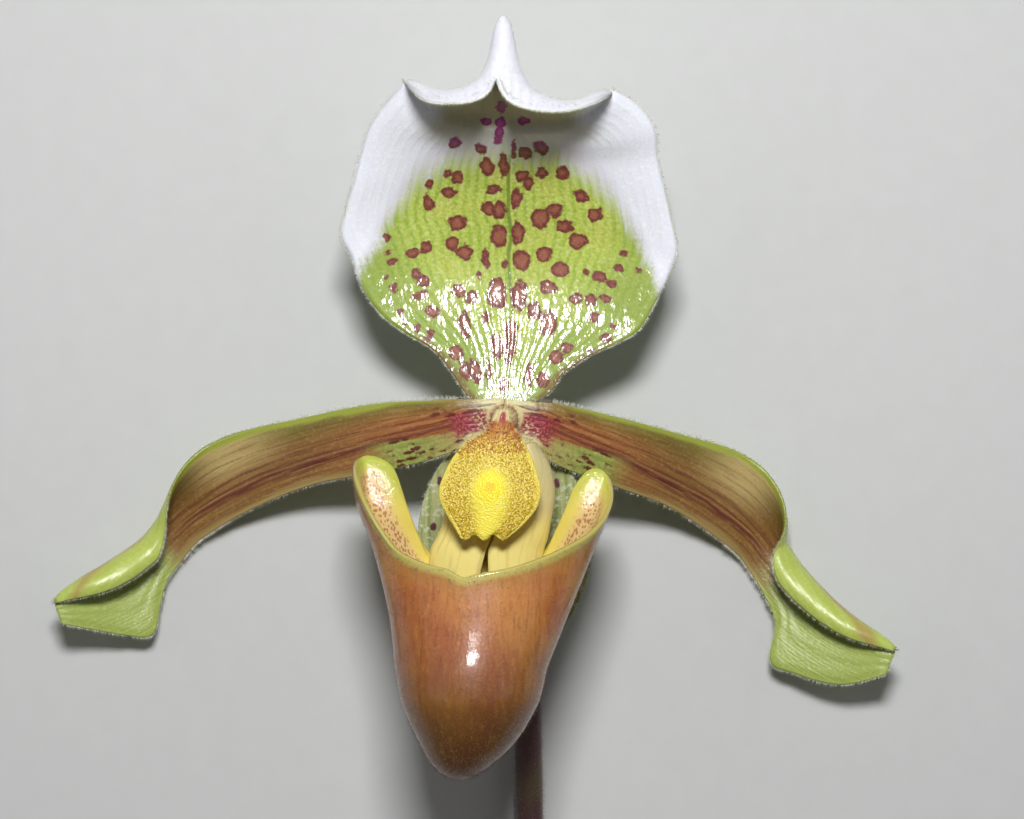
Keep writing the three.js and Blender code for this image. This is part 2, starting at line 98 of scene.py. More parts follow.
def blade(pointAt, across, along, facing, marks=None, edge=0.4, edgeWidth=1.2, spread=None):
    # a fine sheet over pointAt(u, v), u from -1 to 1 across and v from 0 to 1 along
    bm = bmesh.new()
    bmesh.ops.create_grid(bm, x_segments=across, y_segments=along, size=1)
    lie = bm.verts.layers.float_vector.new("lie")
    spot = bm.verts.layers.float.new("spot")
    patch = bm.verts.layers.float.new("patch")
    weight = bm.verts.layers.deform.verify()
    for vert in bm.verts:
        u, v = vert.co.x, (vert.co.y + 1) / 2
        if spread:
            u, v = spread(u, v)
        point = pointAt(u, v)
        lying, spotted, patched = marks(u, v, point) if marks else ((u, v, 9), -9, 0)
        vert[lie] = lying
        vert[spot] = spotted
        vert[patch] = patched
        vert[weight][0] = lerp(edge, 1, ease(0, edgeWidth, lying[2]))
        vert.co = place(point)
    bmesh.ops.remove_doubles(bm, verts=bm.verts, dist=1e-6)
    bm.normal_update()
    total = sum((face.normal * face.calc_area() for face in bm.faces), Vector())
    if total.dot(Vector(facing)) < 0:
        bmesh.ops.reverse_faces(bm, faces=bm.faces)
    return bm


def tube(pathAt, radiusAt, sides, steps):
    # a closed stalk along pathAt(t), with radiusAt(t, angle) at each place
    bm = bmesh.new()
    bmesh.ops.create_grid(bm, x_segments=sides, y_segments=steps, size=1)
    lie = bm.verts.layers.float_vector.new("lie")
    for vert in bm.verts:
        t, angle = (vert.co.y + 1) / 2, vert.co.x * math.pi
        step = 0.5 / steps
        tangent = (pathAt(min(t + step, 1)) - pathAt(max(t - step, 0))).normalized()
        right = (Vector((1, 0, 0)) - tangent * tangent.x).normalized()
        outward = right * math.sin(angle) + tangent.cross(right) * math.cos(angle)
        vert[lie] = (math.degrees(angle), t, 9)
        vert.co = place(pathAt(t) + outward * radiusAt(t, angle))
    bmesh.ops.remove_doubles(bm, verts=bm.verts, dist=1e-6)
    bmesh.ops.holes_fill(bm, edges=[e for e in bm.edges if e.is_boundary])
    bmesh.ops.recalc_face_normals(bm, faces=bm.faces)
    return bm


def curve(points):  # a smooth path through points, by share of its length
    spots = [Vector(p) for p in points]
    lengths = [0]
    for a, b in zip(spots, spots[1:]):
        lengths.append(lengths[-1] + (b - a).length)
    rows = [[length / lengths[-1], *p] for length, p in zip(lengths, spots)]
    return lambda t: Vector(through(rows, t))


def keep(bm, name, materials, node=None, thickness=0, split=False):
    mesh = bpy.data.meshes.new(name)
    bm.to_mesh(mesh)
    bm.free()
    mesh.shade_smooth()
    piece = bpy.data.objects.new(name, mesh)
    scene.collection.objects.link(piece)
    for material in materials:
        mesh.materials.append(material)
    if thickness:
        piece.vertex_groups.new(name="thickness")
        wall = piece.modifiers.new("wall", "SOLIDIFY")
        wall.thickness = thickness * 0.001
        wall.offset = 0
        wall.vertex_group = "thickness"
        wall.use_quality_normals = True
        wall.material_offset = 1 if split else 0
    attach(piece, "root")
    if node:
        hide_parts(node)
    return piece


def hairs(name, roots, material):
    # roots: (place in mm, direction, length in mm, thickness in mm)
    bm = bmesh.new()
    bmesh.ops.create_cone(bm, cap_ends=True, segments=3, radius1=0.5, radius2=0, depth=1,
                          matrix=Matrix.Translation((0, 0, 0.5)))
    bmesh.ops.remove_doubles(bm, verts=bm.verts, dist=1e-5)
    hair = bpy.data.meshes.new("hair")
    bm.to_mesh(hair)
    bm.clear()
    for root, direction, length, width in roots:
        turn = Vector(direction).to_track_quat("Z", "Y")
        size = Vector((width, width, length)) * 0.001
        stand = Matrix.LocRotScale(place(root), turn, size)
        hair.transform(stand)
        bm.from_mesh(hair)
        hair.transform(stand.inverted())
    bpy.data.meshes.remove(hair)
    return keep(bm, name, [material])


def skin(pointAt, u, v, facing):  # a place on a sheet, and its outward direction
    root = pointAt(u, v)
    across = pointAt(min(u + 0.005, 1), v) - pointAt(max(u - 0.005, -1), v)
    along = pointAt(u, min(v + 0.005, 1)) - pointAt(u, max(v - 0.005, 0))
    outward = across.cross(along).normalized()
    if outward.dot(facing) < 0:
        outward.negate()
    return root, outward


def wander(amount):
    return Vector((random.gauss(0, amount), random.gauss(0, amount), random.gauss(0, amount)))


def grow(plan, rootAt):
    # Hairs where rootAt(i) puts them. A plan is how many there are, their thickness, their least and
    # greatest length, all in mm, and how far their directions stray.
    count, width, short, long, stray = plan
    roots = []
    for i in range(count):
        found = rootAt(i)
        if found:
            roots.append((found[0], found[1] + wander(stray), random.uniform(short, long), width))
    return roots


def linear(colour):
    parts = [int(colour[i:i + 2], 16) / 255 for i in (1, 3, 5)]
    return tuple(c / 12.92 if c <= 0.04045 else ((c + 0.055) / 1.055) ** 2.4 for c in parts) + (1,)


usual = {
    "Mix": {"data_type": "RGBA"}, "MapRange": {"interpolation_type": "SMOOTHSTEP"},
    "VectorMath": {"operation": "MULTIPLY"}, "Math": {"operation": "MULTIPLY_ADD"},
}


def add(tree, kind, *values, **settings):
    # Values fill the node's open inputs in order. A setting named like an input, such as coatNormal,
    # fills that input, and any other is the node's own.
    node = tree.nodes.new("ShaderNode" + kind)
    inputs = {socket.name.replace(" ", "").lower(): socket for socket in node.inputs}
    filled = []
    for name, value in {**usual.get(kind, {}), **settings}.items():
        if name.lower() in inputs:
            filled.append((inputs[name.lower()], value))
        else:
            setattr(node, name, value)
    filled += zip([socket for socket in node.inputs if socket.enabled], values)
    for socket, value in filled:
        if isinstance(value, bpy.types.Node):
            value = next(out for out in value.outputs if out.enabled)
        if isinstance(value, bpy.types.NodeSocket):
            tree.links.new(value, socket)
        else:
            socket.default_value = linear(value) if isinstance(value, str) else value
    return node


def share(tree, *ramps):
    # The product of several masks. A ramp is a value, where it starts and where it is full, then how
    # much it gives there (1) and before its start (0).
    total = None
    for ramp in ramps:
        if isinstance(ramp, tuple):
            value, start, full, *ends = ramp
            most, least = ends + [1, 0][len(ends):]
            ramp = add(tree, "MapRange", value, start, full, least, most)
        total = add(tree, "Math", total, ramp, operation="MULTIPLY") if total else ramp
    return total


def paint(tree, colour, *coats):  # each coat is a colour, and the masks or ramps of where it lies
    for over, *ramps in coats:
        colour = add(tree, "Mix", share(tree, *ramps), colour, over)
    return colour


def blank(name):
    material = bpy.data.materials.new(name)
    material.use_nodes = True
    material.node_tree.nodes.clear()
    return material, material.node_tree


def coordinates(tree):  # the place on the object, where it lies on its sheet in mm, and that by axis
    here = add(tree, "TexCoord").outputs["Object"]
    lie = add(tree, "Attribute", attribute_name="lie").outputs["Vector"]
    return here, lie, *add(tree, "SeparateXYZ", lie).outputs


def tissue(material, colour, roughness, relief=(), coatRelief=(), coat=0, coatRoughness=0.2, sheen=0,
           translucent=0):
    # Living flesh under a thin waxy skin: water-filled, so its IOR is near 1.4. Relief is rows of
    # height, strength and depth in mm, each over the last.
    tree = material.node_tree
    normals = {}
    for socket, rows in (("normal", relief), ("coatNormal", coatRelief)):
        for height, strength, depth in rows:
            under = {"normal": normals[socket]} if socket in normals else {}
            normals[socket] = add(
                tree, "Bump", height=height, strength=strength, distance=depth * 0.001, **under)
    shader = add(
        tree, "BsdfPrincipled", baseColor=colour, roughness=roughness, ior=1.4, coatWeight=coat,
        coatRoughness=coatRoughness, sheenWeight=sheen, subsurfaceWeight=translucent,
        subsurfaceScale=0.001, subsurfaceRadius=(1, 0.8, 0.4), **normals)
    add(tree, "OutputMaterial", surface=shader)
    return material


upperSepal = {
    # margins, from the base up to the corners of the hood: [v, x, y, z]
    "left": [
        [0, -2.6, -0.9, -3.2], [0.06, -4.6, 0.9, -3.1], [0.13, -6, 3, -3], [0.22, -8.4, 6, -2.9],
        [0.31, -11.8, 8.1, -2.8], [0.4, -14.7, 10.3, -2.8], [0.5, -17.2, 13.8, -2.6],
        [0.58, -18.3, 17.3, -2.3], [0.64, -19.5, 19.6, -1.8], [0.71, -19, 22.4, -1.1],
        [0.78, -18.1, 25.4, -0.1], [0.85, -17.1, 28.9, 1], [0.92, -15.7, 32.8, 2.6],
        [1, -11.5, 37.6, 5.5],
    ],
    "right": [
        [0, 3, -0.9, -3.2], [0.06, 5.6, 0.9, -3.1], [0.13, 7.3, 3.2, -3], [0.22, 10.6, 5.4, -2.9],
        [0.31, 14, 7, -2.8], [0.4, 16.5, 8.6, -2.8], [0.5, 18.5, 12, -2.6], [0.58, 20.4, 16.1, -2.3],
        [0.64, 20.9, 18.2, -1.8], [0.71, 20.3, 21.2, -1.1], [0.78, 19.4, 24.8, -0.1],
        [0.85, 18.5, 28.8, 1], [0.92, 18, 32.3, 2.6], [0.96, 15.9, 35, 3.9], [1, 12.8, 36.6, 5.5],
    ],
    "midrib": [
        [0, -0.9, -3.2], [0.13, 3.7, -3.9], [0.31, 10.4, -4.85], [0.5, 17.6, -4.8], [0.71, 24.6, -1.9],
        [0.85, 28.5, 1], [1, 31.8, 4.8],
    ],
    "hoodStart": 0.78, "hoodDepth": 10.5, "hoodRoll": 140,
    "crest": [
        [-11.5, 37.4], [-10.1, 36.9], [-8.2, 35.9], [-6, 35.6], [-2.5, 35.5], [0, 35.2], [3, 34.7],
        [5.3, 34.5], [7.1, 34.4], [9, 34.7], [10.9, 35.6], [12.9, 36.2],
    ],
    "hoodEdge": [
        [-11.5, 37.3], [-9.8, 35.2], [-8.2, 34.3], [-6.4, 34], [-4.5, 34], [-3.2, 34.2],
        [-2.2, 34.6], [-1.4, 35.3], [-0.75, 36.6], [-0.3, 35.4], [0.1, 34.7], [0.85, 34], [2.2, 33.4],
        [4.3, 33], [6.2, 33], [8.1, 33.3], [9.9, 34], [11.2, 34.7], [12.9, 36],
    ],
    # horn: how far out from its axis, and how high over the crest
    "horn": [
        [0, 8.75], [0.2, 8.65], [0.45, 8.2], [0.75, 7.4], [1.03, 6], [1.4, 4.2], [1.8, 3.1], [2.3, 2.2],
        [3, 1.3], [3.9, 0.7], [5.2, 0.25], [7.5, 0], [30, 0],
    ],
    "hornAt": (0.1, 11.9),
    # the middle of the slit in the hood's edge, its half-width, and how deep it is pressed in
    "slit": (-0.72, 0.35, 0.4),
    "ribs": 11, "ribHeight": 0.03, "thickness": 0.7, "halfWidth": 20, "length": 46,
    "sheetRows": (0.55, 0.45),  # shares of the sheet's rows that lie below the hood and on it
    "fringe": (3000, 0.075, 0.3, 0.6, 0.35), "down": (3200, 0.04, 0.2, 0.42, 0.3),
    # maroon spots: (x, y, width, length)
    "spots": [
        (-0.1, 34.6, 1.2, 1.3), (-1.9, 32.9, 1.5, 1.1), (-0.3, 32.8, 1.6, 1.4), (-0.4, 31.7, 1, 1.4),
        (-0.6, 31, 1.2, 1), (2.4, 33.1, 1.3, 1.2), (-5.7, 30.7, 1.4, 1.4), (-2.7, 30.1, 1.4, 1.1),
        (4.5, 30.2, 1.8, 1.5), (2.6, 29.6, 1.6, 1.3), (1.3, 29.9, 0.6, 1.8), (-1.9, 28.1, 1.7, 2),
        (0, 28.4, 1.2, 3), (-6.6, 27.3, 1.1, 0.9), (-5.5, 26.9, 1.5, 1.8), (-8.8, 26.1, 1.1, 1.3),
        (2.3, 27.1, 1.5, 1.5), (3, 26.3, 1.4, 1.6), (4.6, 27.5, 1.4, 1.5), (7.1, 27.4, 1.8, 1.6),
        (-6.5, 25.2, 1.8, 1.3), (-9, 23.9, 1.5, 1.9), (-1.1, 25.5, 1.7, 1.1), (1.6, 24.5, 1.5, 2.4),
        (-1.8, 23.3, 1.8, 1.7), (-0.4, 23.1, 1.8, 2.2), (9.4, 24.6, 1.9, 1.5), (11.1, 22.5, 1.9, 1.8),
        (4.5, 22.1, 2.2, 2.4), (6.2, 23.1, 2, 1.6), (7.5, 21.2, 2.1, 1.6), (-5.5, 21.6, 2.3, 2),
        (-0.5, 20.1, 2.2, 2.9), (1.8, 20.4, 1.7, 2.7), (9.1, 19.4, 2.4, 2), (-14.1, 19.8, 0.9, 1.1),
        (-6.3, 19.1, 1.8, 1.8), (-4.7, 18.1, 1.9, 2.1), (-10.9, 18, 1.7, 1.2), (-9.4, 18.6, 1.4, 1.5),
        (5, 17.8, 2, 2.1), (-2.1, 17.3, 1, 2.7), (-13.9, 17.9, 1.1, 0.7), (-13.5, 16.7, 1.5, 0.9),
        (2.3, 17.1, 2.3, 2.6), (0.3, 16.5, 0.8, 1.3), (7, 15.9, 2.4, 1.9), (14.6, 17.8, 1.1, 0.8),
        (14.1, 16, 1.4, 1), (16.3, 15.7, 0.9, 0.8), (10.3, 15.5, 0.9, 1), (11.7, 15, 1.7, 1.4),
        (13.3, 14.2, 1.1, 1.2), (-14.3, 14.9, 0.8, 0.8), (-13.3, 13.6, 1.1, 1.1), (-10.7, 15.4, 1.5, 1.4),
        (-9.7, 14.5, 1.5, 1.5), (-2.9, 15.1, 0.7, 1), (-0.8, 12.9, 2.5, 3.8), (1.9, 12.7, 2.1, 3.8),
        (-5.4, 13.3, 1.8, 1.8), (-4, 12.5, 1.6, 1.6), (5.5, 13.7, 2.2, 1.7), (-10, 12.8, 2, 1.1),
        (8.9, 12.3, 1.9, 1.4), (10.7, 12.2, 1.5, 1.5), (12.5, 12.3, 1.4, 1.3), (-8.6, 10.7, 1.8, 1.5),
        (3.9, 10.8, 1.8, 2.3), (5.6, 9.3, 2.1, 3.2), (11.3, 10, 1.8, 1.5), (-4.7, 9.1, 1.4, 3.4),
        (-2.1, 10, 1, 2), (1, 8.5, 1.5, 2.8), (0.8, 6.4, 1.5, 3.8), (-0.7, 6.7, 1.6, 3.2),
        (-12.5, 10.7, 0.7, 0.8), (-12, 9.5, 0.8, 1.1), (-10.4, 8.7, 0.9, 1), (-8.9, 8, 0.9, 1),
        (-9.3, 7.1, 1.8, 0.9), (-5.7, 5.7, 2, 2), (7.8, 6.2, 1.5, 1.5), (6.4, 5.1, 1.8, 2),
        (13.5, 8.8, 1.2, 0.6), (15.2, 9.4, 0.6, 0.5), (12.6, 7.4, 1.4, 1.2), (10.8, 5.8, 1.2, 0.7),
        (-4.7, 3.6, 1.3, 2.6), (-3.4, 3.6, 1.4, 3), (0, 1.8, 1.4, 2), (-1.8, 3.6, 0.8, 2),
        (3.2, 3, 1.2, 2.6), (4.9, 2.4, 1.7, 1.8),
    ],
    "greenTop": 30, "greenFall": 0.0026,
    # how wide the white border is at each height
    "border": [
        [0, -2], [6, -2], [9, -1.6], [13, -0.9], [15, -0.2], [17, 1.2], [18.8, 3], [20.5, 4.2], [40, 3],
    ],
}


def sepalBody(u, v):
    left, right = through(upperSepal["left"], v), through(upperSepal["right"], v)
    y, z = through(upperSepal["midrib"], v)
    x, edgeY, edgeZ = [lerp(a, b, (u + 1) / 2) for a, b in zip(left, right)]
    crown = 1 - abs(u) ** (2 + 2 * v ** 3)
    point = Vector((x, edgeY + (y - (left[1] + right[1]) / 2) * crown,
                    edgeZ + (z - (left[2] + right[2]) / 2) * (1 - u * u)))
    ribs = math.cos(upperSepal["ribs"] * 2 * math.pi * u) + (1 if abs(u) < 0.02 else 0)
    point.z += upperSepal["ribHeight"] * ribs * min(v * 4, 1) * (1 - abs(u)) ** 0.5
    return point


def sepalPoint(u, v):
    s = upperSepal
    if v <= s["hoodStart"]:
        return sepalBody(u, v / s["hoodStart"])
    t = (v - s["hoodStart"]) / (1 - s["hoodStart"])
    point = sepalBody(u, 1)
    crest, edge = through(s["crest"], point.x)[0], through(s["hoodEdge"], point.x)[0]
    roll = math.radians(s["hoodRoll"])
    rise, last = math.sin(roll * t), math.sin(roll)
    if roll * t < math.pi / 2:
        point.y = lerp(point.y, crest, rise)
    else:
        point.y = lerp(edge, crest, (rise - last) / (1 - last))
    depth = s["hoodDepth"] * max(1 - u * u, 0) ** 0.55
    point.z += depth * (1 - math.cos(roll * t)) / (1 - math.cos(roll))
    x, z = s["hornAt"]
    height = through(s["horn"], math.hypot(point.x - x, point.z - z))[0]
    point.y += height * ease(1, 0.84, t) * ease(0.1, 0.45, t)
    middle, spread, pressed = s["slit"]
    crease = math.exp(-((point.x - middle) / spread) ** 2) * ease(0.75, 1, t)
    point.z -= pressed * crease
    return point


def sepalSpread(u, v):  # rows and columns are closest round the horn
    start, (body, hood) = upperSepal["hoodStart"], upperSepal["sheetRows"]
    v = lerp(start, 1, (v - body) / hood) if v > body else start * v / body
    return u * (0.42 + 0.58 * u * u), v


def spotDepth(x, y, spots, turnAt):  # how far inside the nearest spot a place is, in mm
    deepest = -3
    for cx, cy, width, length in spots:
        if abs(x - cx) > 3 or abs(y - cy) > 4:
            continue
        turn = turnAt(cx, cy)
        dx = (x - cx) * math.cos(turn) + (y - cy) * math.sin(turn)
        dy = (y - cy) * math.cos(turn) - (x - cx) * math.sin(turn)
        depth = (1 - math.hypot(dx / width, dy / length) * 2) * min(width, length) / 2
        deepest = max(deepest, depth)
    return deepest


def sepalMarks(u, v, point):
    s = upperSepal
    edge = (1 - abs(u)) * lerp(3, 19, ease(0, 0.5, v))
    rim = min(edge, (1 - v) * s["length"])
    onBody = v < s["hoodStart"] + 0.1
    turnAt = lambda x, y: -0.6 * math.atan2(x, y + 8)
    depth = spotDepth(point.x, point.y, s["spots"], turnAt) if onBody else -3
    green = s["greenTop"] - s["greenFall"] * abs(point.x - 0.5) ** 3 - point.y
    border = through(s["border"], point.y)[0]
    green = min(green, (edge - border) * 2) if onBody else -5
    return (u * s["halfWidth"], v * s["length"], rim), depth, green


# Waxy white flesh with a granular skin, which breaks the gloss into sparks, over a fan of green
# chlorophyll and fine veins
def sepalFrontMaterial():
    material, tree = blank("waxySepalFront")
    here, lie, across, along, edge = coordinates(tree)
    green = add(tree, "Attribute", attribute_name="patch").outputs["Fac"]
    spot = add(tree, "Attribute", attribute_name="spot").outputs["Fac"]
    height = add(tree, "SeparateXYZ", here).outputs[1]
    side = add(tree, "Math", across, operation="ABSOLUTE")
    cells = add(tree, "TexNoise", here, 2600, 3)  # grains 0.4 mm
    clouds = add(tree, "TexNoise", here, 260, 3)  # 4 mm
    fan = add(tree, "TexNoise", add(tree, "VectorMath", lie, (1.1, 0.08, 0)), 1, 3, 0.6)
    reach = add(tree, "Math", cells, 4, add(tree, "Math", fan, 5, green))
    reach = add(tree, "Math", reach, 4.5, operation="SUBTRACT")
    fade = share(tree, (reach, -1.8, 2.6))
    # a vein each 1.2 mm across, wavering, with a pale ridge between
    waver = add(tree, "Math", clouds, 5, operation="MULTIPLY")
    vein = add(tree, "Math", across, 2 * math.pi / 1.2, waver)
    vein = share(tree, (add(tree, "Math", vein, operation="COSINE"), -0.3, 1, 0.75))
    pale = share(tree, (cells, 0.5, 0.68, 0.5))
    greens = paint(
        tree, "#bccd5a", ("#98b23c", vein), ("#c8cc5e", (clouds, 0.4, 0.7, 0.7)), ("#dfe4a6", pale),
        ("#7f9a2e", (cells, 0.46, 0.32, 0.45)), ("#8a9c3c", (along, 26, 12, 0.25)),
        ("#c3cb82", (along, 5, 1.5, 0.8)), ("#7f9836", (edge, 9, 2, 0.65)))
    # painted shade: under the hood the white flesh is painted darker olive, where the hood's shadow falls
    under = (height, flowerCentre.y + 0.03, flowerCentre.y + 0.033)
    white = paint(
        tree, "#ebedf6", ("#fbfcfe", pale), ("#d6c9dc", (green, -3, -0.4, 0.35)),
        ("#b6ad82", under, (edge, 0.3, 0.9), (side, 15.5, 11, 0.9)))
    # spots: soft at the edge, darker round the rim, magenta near the hood where the flesh is white
    rough = add(tree, "Math", add(tree, "TexNoise", here, 1100, 2), 1, spot)
    core = share(tree, (rough, 0.66, 1.16))
    brown = paint(tree, "#763733", ("#9c6048", core))
    spots = paint(
        tree, "#962c78", ("#a8508e", core), (brown, (along, 34.2, 32.2)), ("#b98a6c", pale, 0.55))
    # the midrib is one thin dark green line, and the margin is brown near the base
    flesh = paint(
        tree, white, (greens, fade), ("#5d7d25", (side, 0.32, 0.1, 0.75), fade),
        (spots, (rough, 0.38, 0.6)), ("#7d6a30", (edge, 0.8, 0.25), (along, 14, 7)))
    # the grains lean 3 degrees towards the hood, which carries the gloss up the sepal
    swells = add(tree, "TexNoise", add(tree, "VectorMath", here, (1, 0.55, 1)), 1000, 2)
    leaning = add(tree, "Math", height, -260, swells)
    relief, coatRelief = [(vein, 0.3, 0.12), (cells, 0.4, 0.12)], [(leaning, 0.5, 0.4)]
    return tissue(material, flesh, 0.5, relief, coatRelief, coat=1, coatRoughness=0.15, translucent=0.1)


# The same flesh from outside: white where it folds, with the green fan showing through softly
def sepalBackMaterial():
    material, tree = blank("hairySepalBack")
    green = add(tree, "Attribute", attribute_name="patch").outputs["Fac"]
    here = add(tree, "TexCoord").outputs["Object"]
    cells = add(tree, "TexNoise", here, 1500, 3)
    greens = paint(tree, "#8fae45", ("#b4c86c", cells))
    flesh = paint(tree, "#d6d6e0", ("#e6e6ef", cells), (greens, (green, -2, 6)))
    fine = add(tree, "TexNoise", here, 3200, 2)
    return tissue(material, flesh, 0.55, [(fine, 0.4, 0.1)], sheen=0.2, translucent=0.12)


# Soft hairs are pale and nearly clear, and catch the light along the margins
def hairMaterial(name, colour, other):
    material, tree = blank(name)
    vary = add(tree, "TexNoise", add(tree, "TexCoord").outputs["Object"], 900, 1)
    return tissue(material, paint(tree, colour, (other, vary)), 0.45, sheen=0.3)


paleHair = hairMaterial("paleHair", "#d9dcc0", "#f6f5ea")


def makeUpperSepal():
    materials = [sepalFrontMaterial(), sepalBackMaterial()]
    bm = blade(sepalPoint, 150, 200, (0, 0, 1), sepalMarks, edge=0.35, spread=sepalSpread)
    keep(bm, "upperSepal", materials, "dorsal_sepal", upperSepal["thickness"], True)

    def fringeAt(i):  # round the margin
        u, v = random.choice((-1, 1)), random.random() ** 0.8
        if random.random() < 0.45:
            u, v = random.uniform(-0.98, 0.98), 1
        inner = sepalPoint(u * 0.97, v) if v < 1 else sepalPoint(u, 0.985)
        root = sepalPoint(u, v)
        outward = (root - inner).normalized()
        if v == 1:
            outward.y -= 0.8
        return root, outward

    def downAt(i):  # over the hood and the horn
        u, t = random.uniform(-0.97, 0.97), random.uniform(0.35, 0.98)
        if i % 3 == 0:
            u = random.gauss(-0.03, 0.06)
        facing = Vector((0, 0.6 if t < 0.65 else 0.3, t - 0.55))
        root, outward = skin(sepalPoint, u, lerp(upperSepal["hoodStart"], 1, t), facing)
        return root + outward * 0.33, outward

    roots = grow(upperSepal["fringe"], fringeAt) + grow(upperSepal["down"], downAt)
    hairs("sepalHairs", roots, paleHair)
    print("upper sepal made")


makeUpperSepal()

petals = {
    "left": {
        "midrib": [
            [0, -2.2, -1.9, -1.3], [0.1, -6.8, -3.4, -2.2], [0.25, -15, -5.3, -5.4],
            [0.4, -24, -7.9, -9.4], [0.55, -32.5, -11.2, -13], [0.68, -39.4, -15.2, -15.4],
            [0.78, -43.9, -19.3, -15.4], [0.88, -48.8, -22.5, -13], [1, -55.5, -25, -9],
        ],
        # [s, upper width, lower width, roll of the upper half, curl of the lower half, lean]
        "shape": [
            [0, 2.3, 1.7, 0, 0, 0], [0.1, 3.5, 3, 0, 20, 0], [0.25, 4.9, 3.4, 0, 0, -4],
            [0.4, 5.8, 2.6, 8, 0, -10], [0.55, 7.2, 2.7, 45, 0, -14], [0.64, 7.7, 2.7, 108, 0, -12],
            [0.72, 7.1, 2.7, 168, 0, -6], [0.79, 7.8, 3.5, 202, 0, 0], [0.83, 7.8, 5.6, 206, 0, 0],
            [0.865, 7.8, 8.3, 208, 0, 0], [0.9, 7.2, 6.9, 207, 0, 0], [0.94, 5.8, 5.1, 204, 0, 0],
            [1, 1.2, 2.8, 195, 0, 0],
        ],
    },
    "right": {
        "midrib": [
            [0, 2.6, -2.1, -1.3], [0.1, 6.8, -4.1, -2.4], [0.25, 14, -7, -6], [0.4, 20.8, -10.4, -10.2],
            [0.52, 26, -13.4, -13.2], [0.64, 30.8, -17.1, -15.4], [0.72, 33.4, -20.2, -15.7],
            [0.82, 37.7, -24.9, -14], [0.91, 42.6, -28.5, -11.5], [1, 48.4, -30.9, -8.5],
        ],
        "shape": [
            [0, 2.5, 1.7, 0, 0, 0], [0.1, 3.6, 3.5, 0, 20, 0], [0.25, 4.8, 3.5, 0, 0, -4],
            [0.4, 6.4, 2.7, 6, 0, -10], [0.52, 7.9, 2.8, 36, 0, -14], [0.62, 8.3, 2.7, 96, 0, -12],
            [0.7, 7.9, 2.6, 158, 0, -6], [0.77, 8.7, 3.3, 200, 0, 0], [0.815, 8.5, 4.8, 206, 0, 0],
            [0.845, 8, 8.7, 207, 0, 0], [0.88, 7.2, 8.1, 208, 0, 0], [0.94, 5.2, 6.4, 204, 0, 0],
            [1, 1.2, 3.2, 195, 0, 0],
        ],
    },
}
petalSize = {
    "length": 62, "thickness": 0.7,
    # share of the length that is drawn in round the column, and the column's middle and its radius
    "root": 0.05, "column": (-2.2, 1.5),
    "marginHairs": (2200, 0.05, 0.35, 0.8, 0.3), "rootHairs": (170, 0.07, 0.7, 1.4, 0.3),
}


def petalPoint(petal, t, s):
    behind = Vector(through(petal["midrib"], max(s - 0.01, 0)))
    tangent = (Vector(through(petal["midrib"], min(s + 0.01, 1))) - behind).normalized()
    facing = (Vector((0, 0, 1)) - tangent * tangent.z).normalized()
    upward = facing.cross(tangent)
    if upward.y < 0:
        upward.negate()
    upper, lower, roll, curl, leaning = through(petal["shape"], s)
    lean = math.radians(leaning)
    across = upward * math.cos(lean) + facing * math.sin(lean)
    forward = facing * math.cos(lean) - upward * math.sin(lean)
    reach, rise = arc(upper * t, roll * t) if t >= 0 else arc(lower * t, curl * t)
    ridge = 0.05 * math.cos(t * 26) * ease(0, 0.1, s) * (1 - abs(t))
    point = Vector(through(petal["midrib"], s)) + across * reach + forward * (rise + ridge)
    if s < petalSize["root"]:
        middle, radius = petalSize["column"]
        notch = math.sqrt(max(radius ** 2 - (point.y - middle) ** 2, 0))
        inner = 0.2 + math.copysign(max(notch, 0.02), point.x)
        point.x = lerp(inner, point.x, s / petalSize["root"])
    return point


def petalMarks(petal):
    def marks(t, s, point):
        upper, lower = through(petal["shape"], s)[:2]
        wide = upper if t > 0 else lower
        edge = min((1 - abs(t)) * wide, (1 - s) * petalSize["length"])
        return (t * wide, s * petalSize["length"], edge), t, s
    return marks


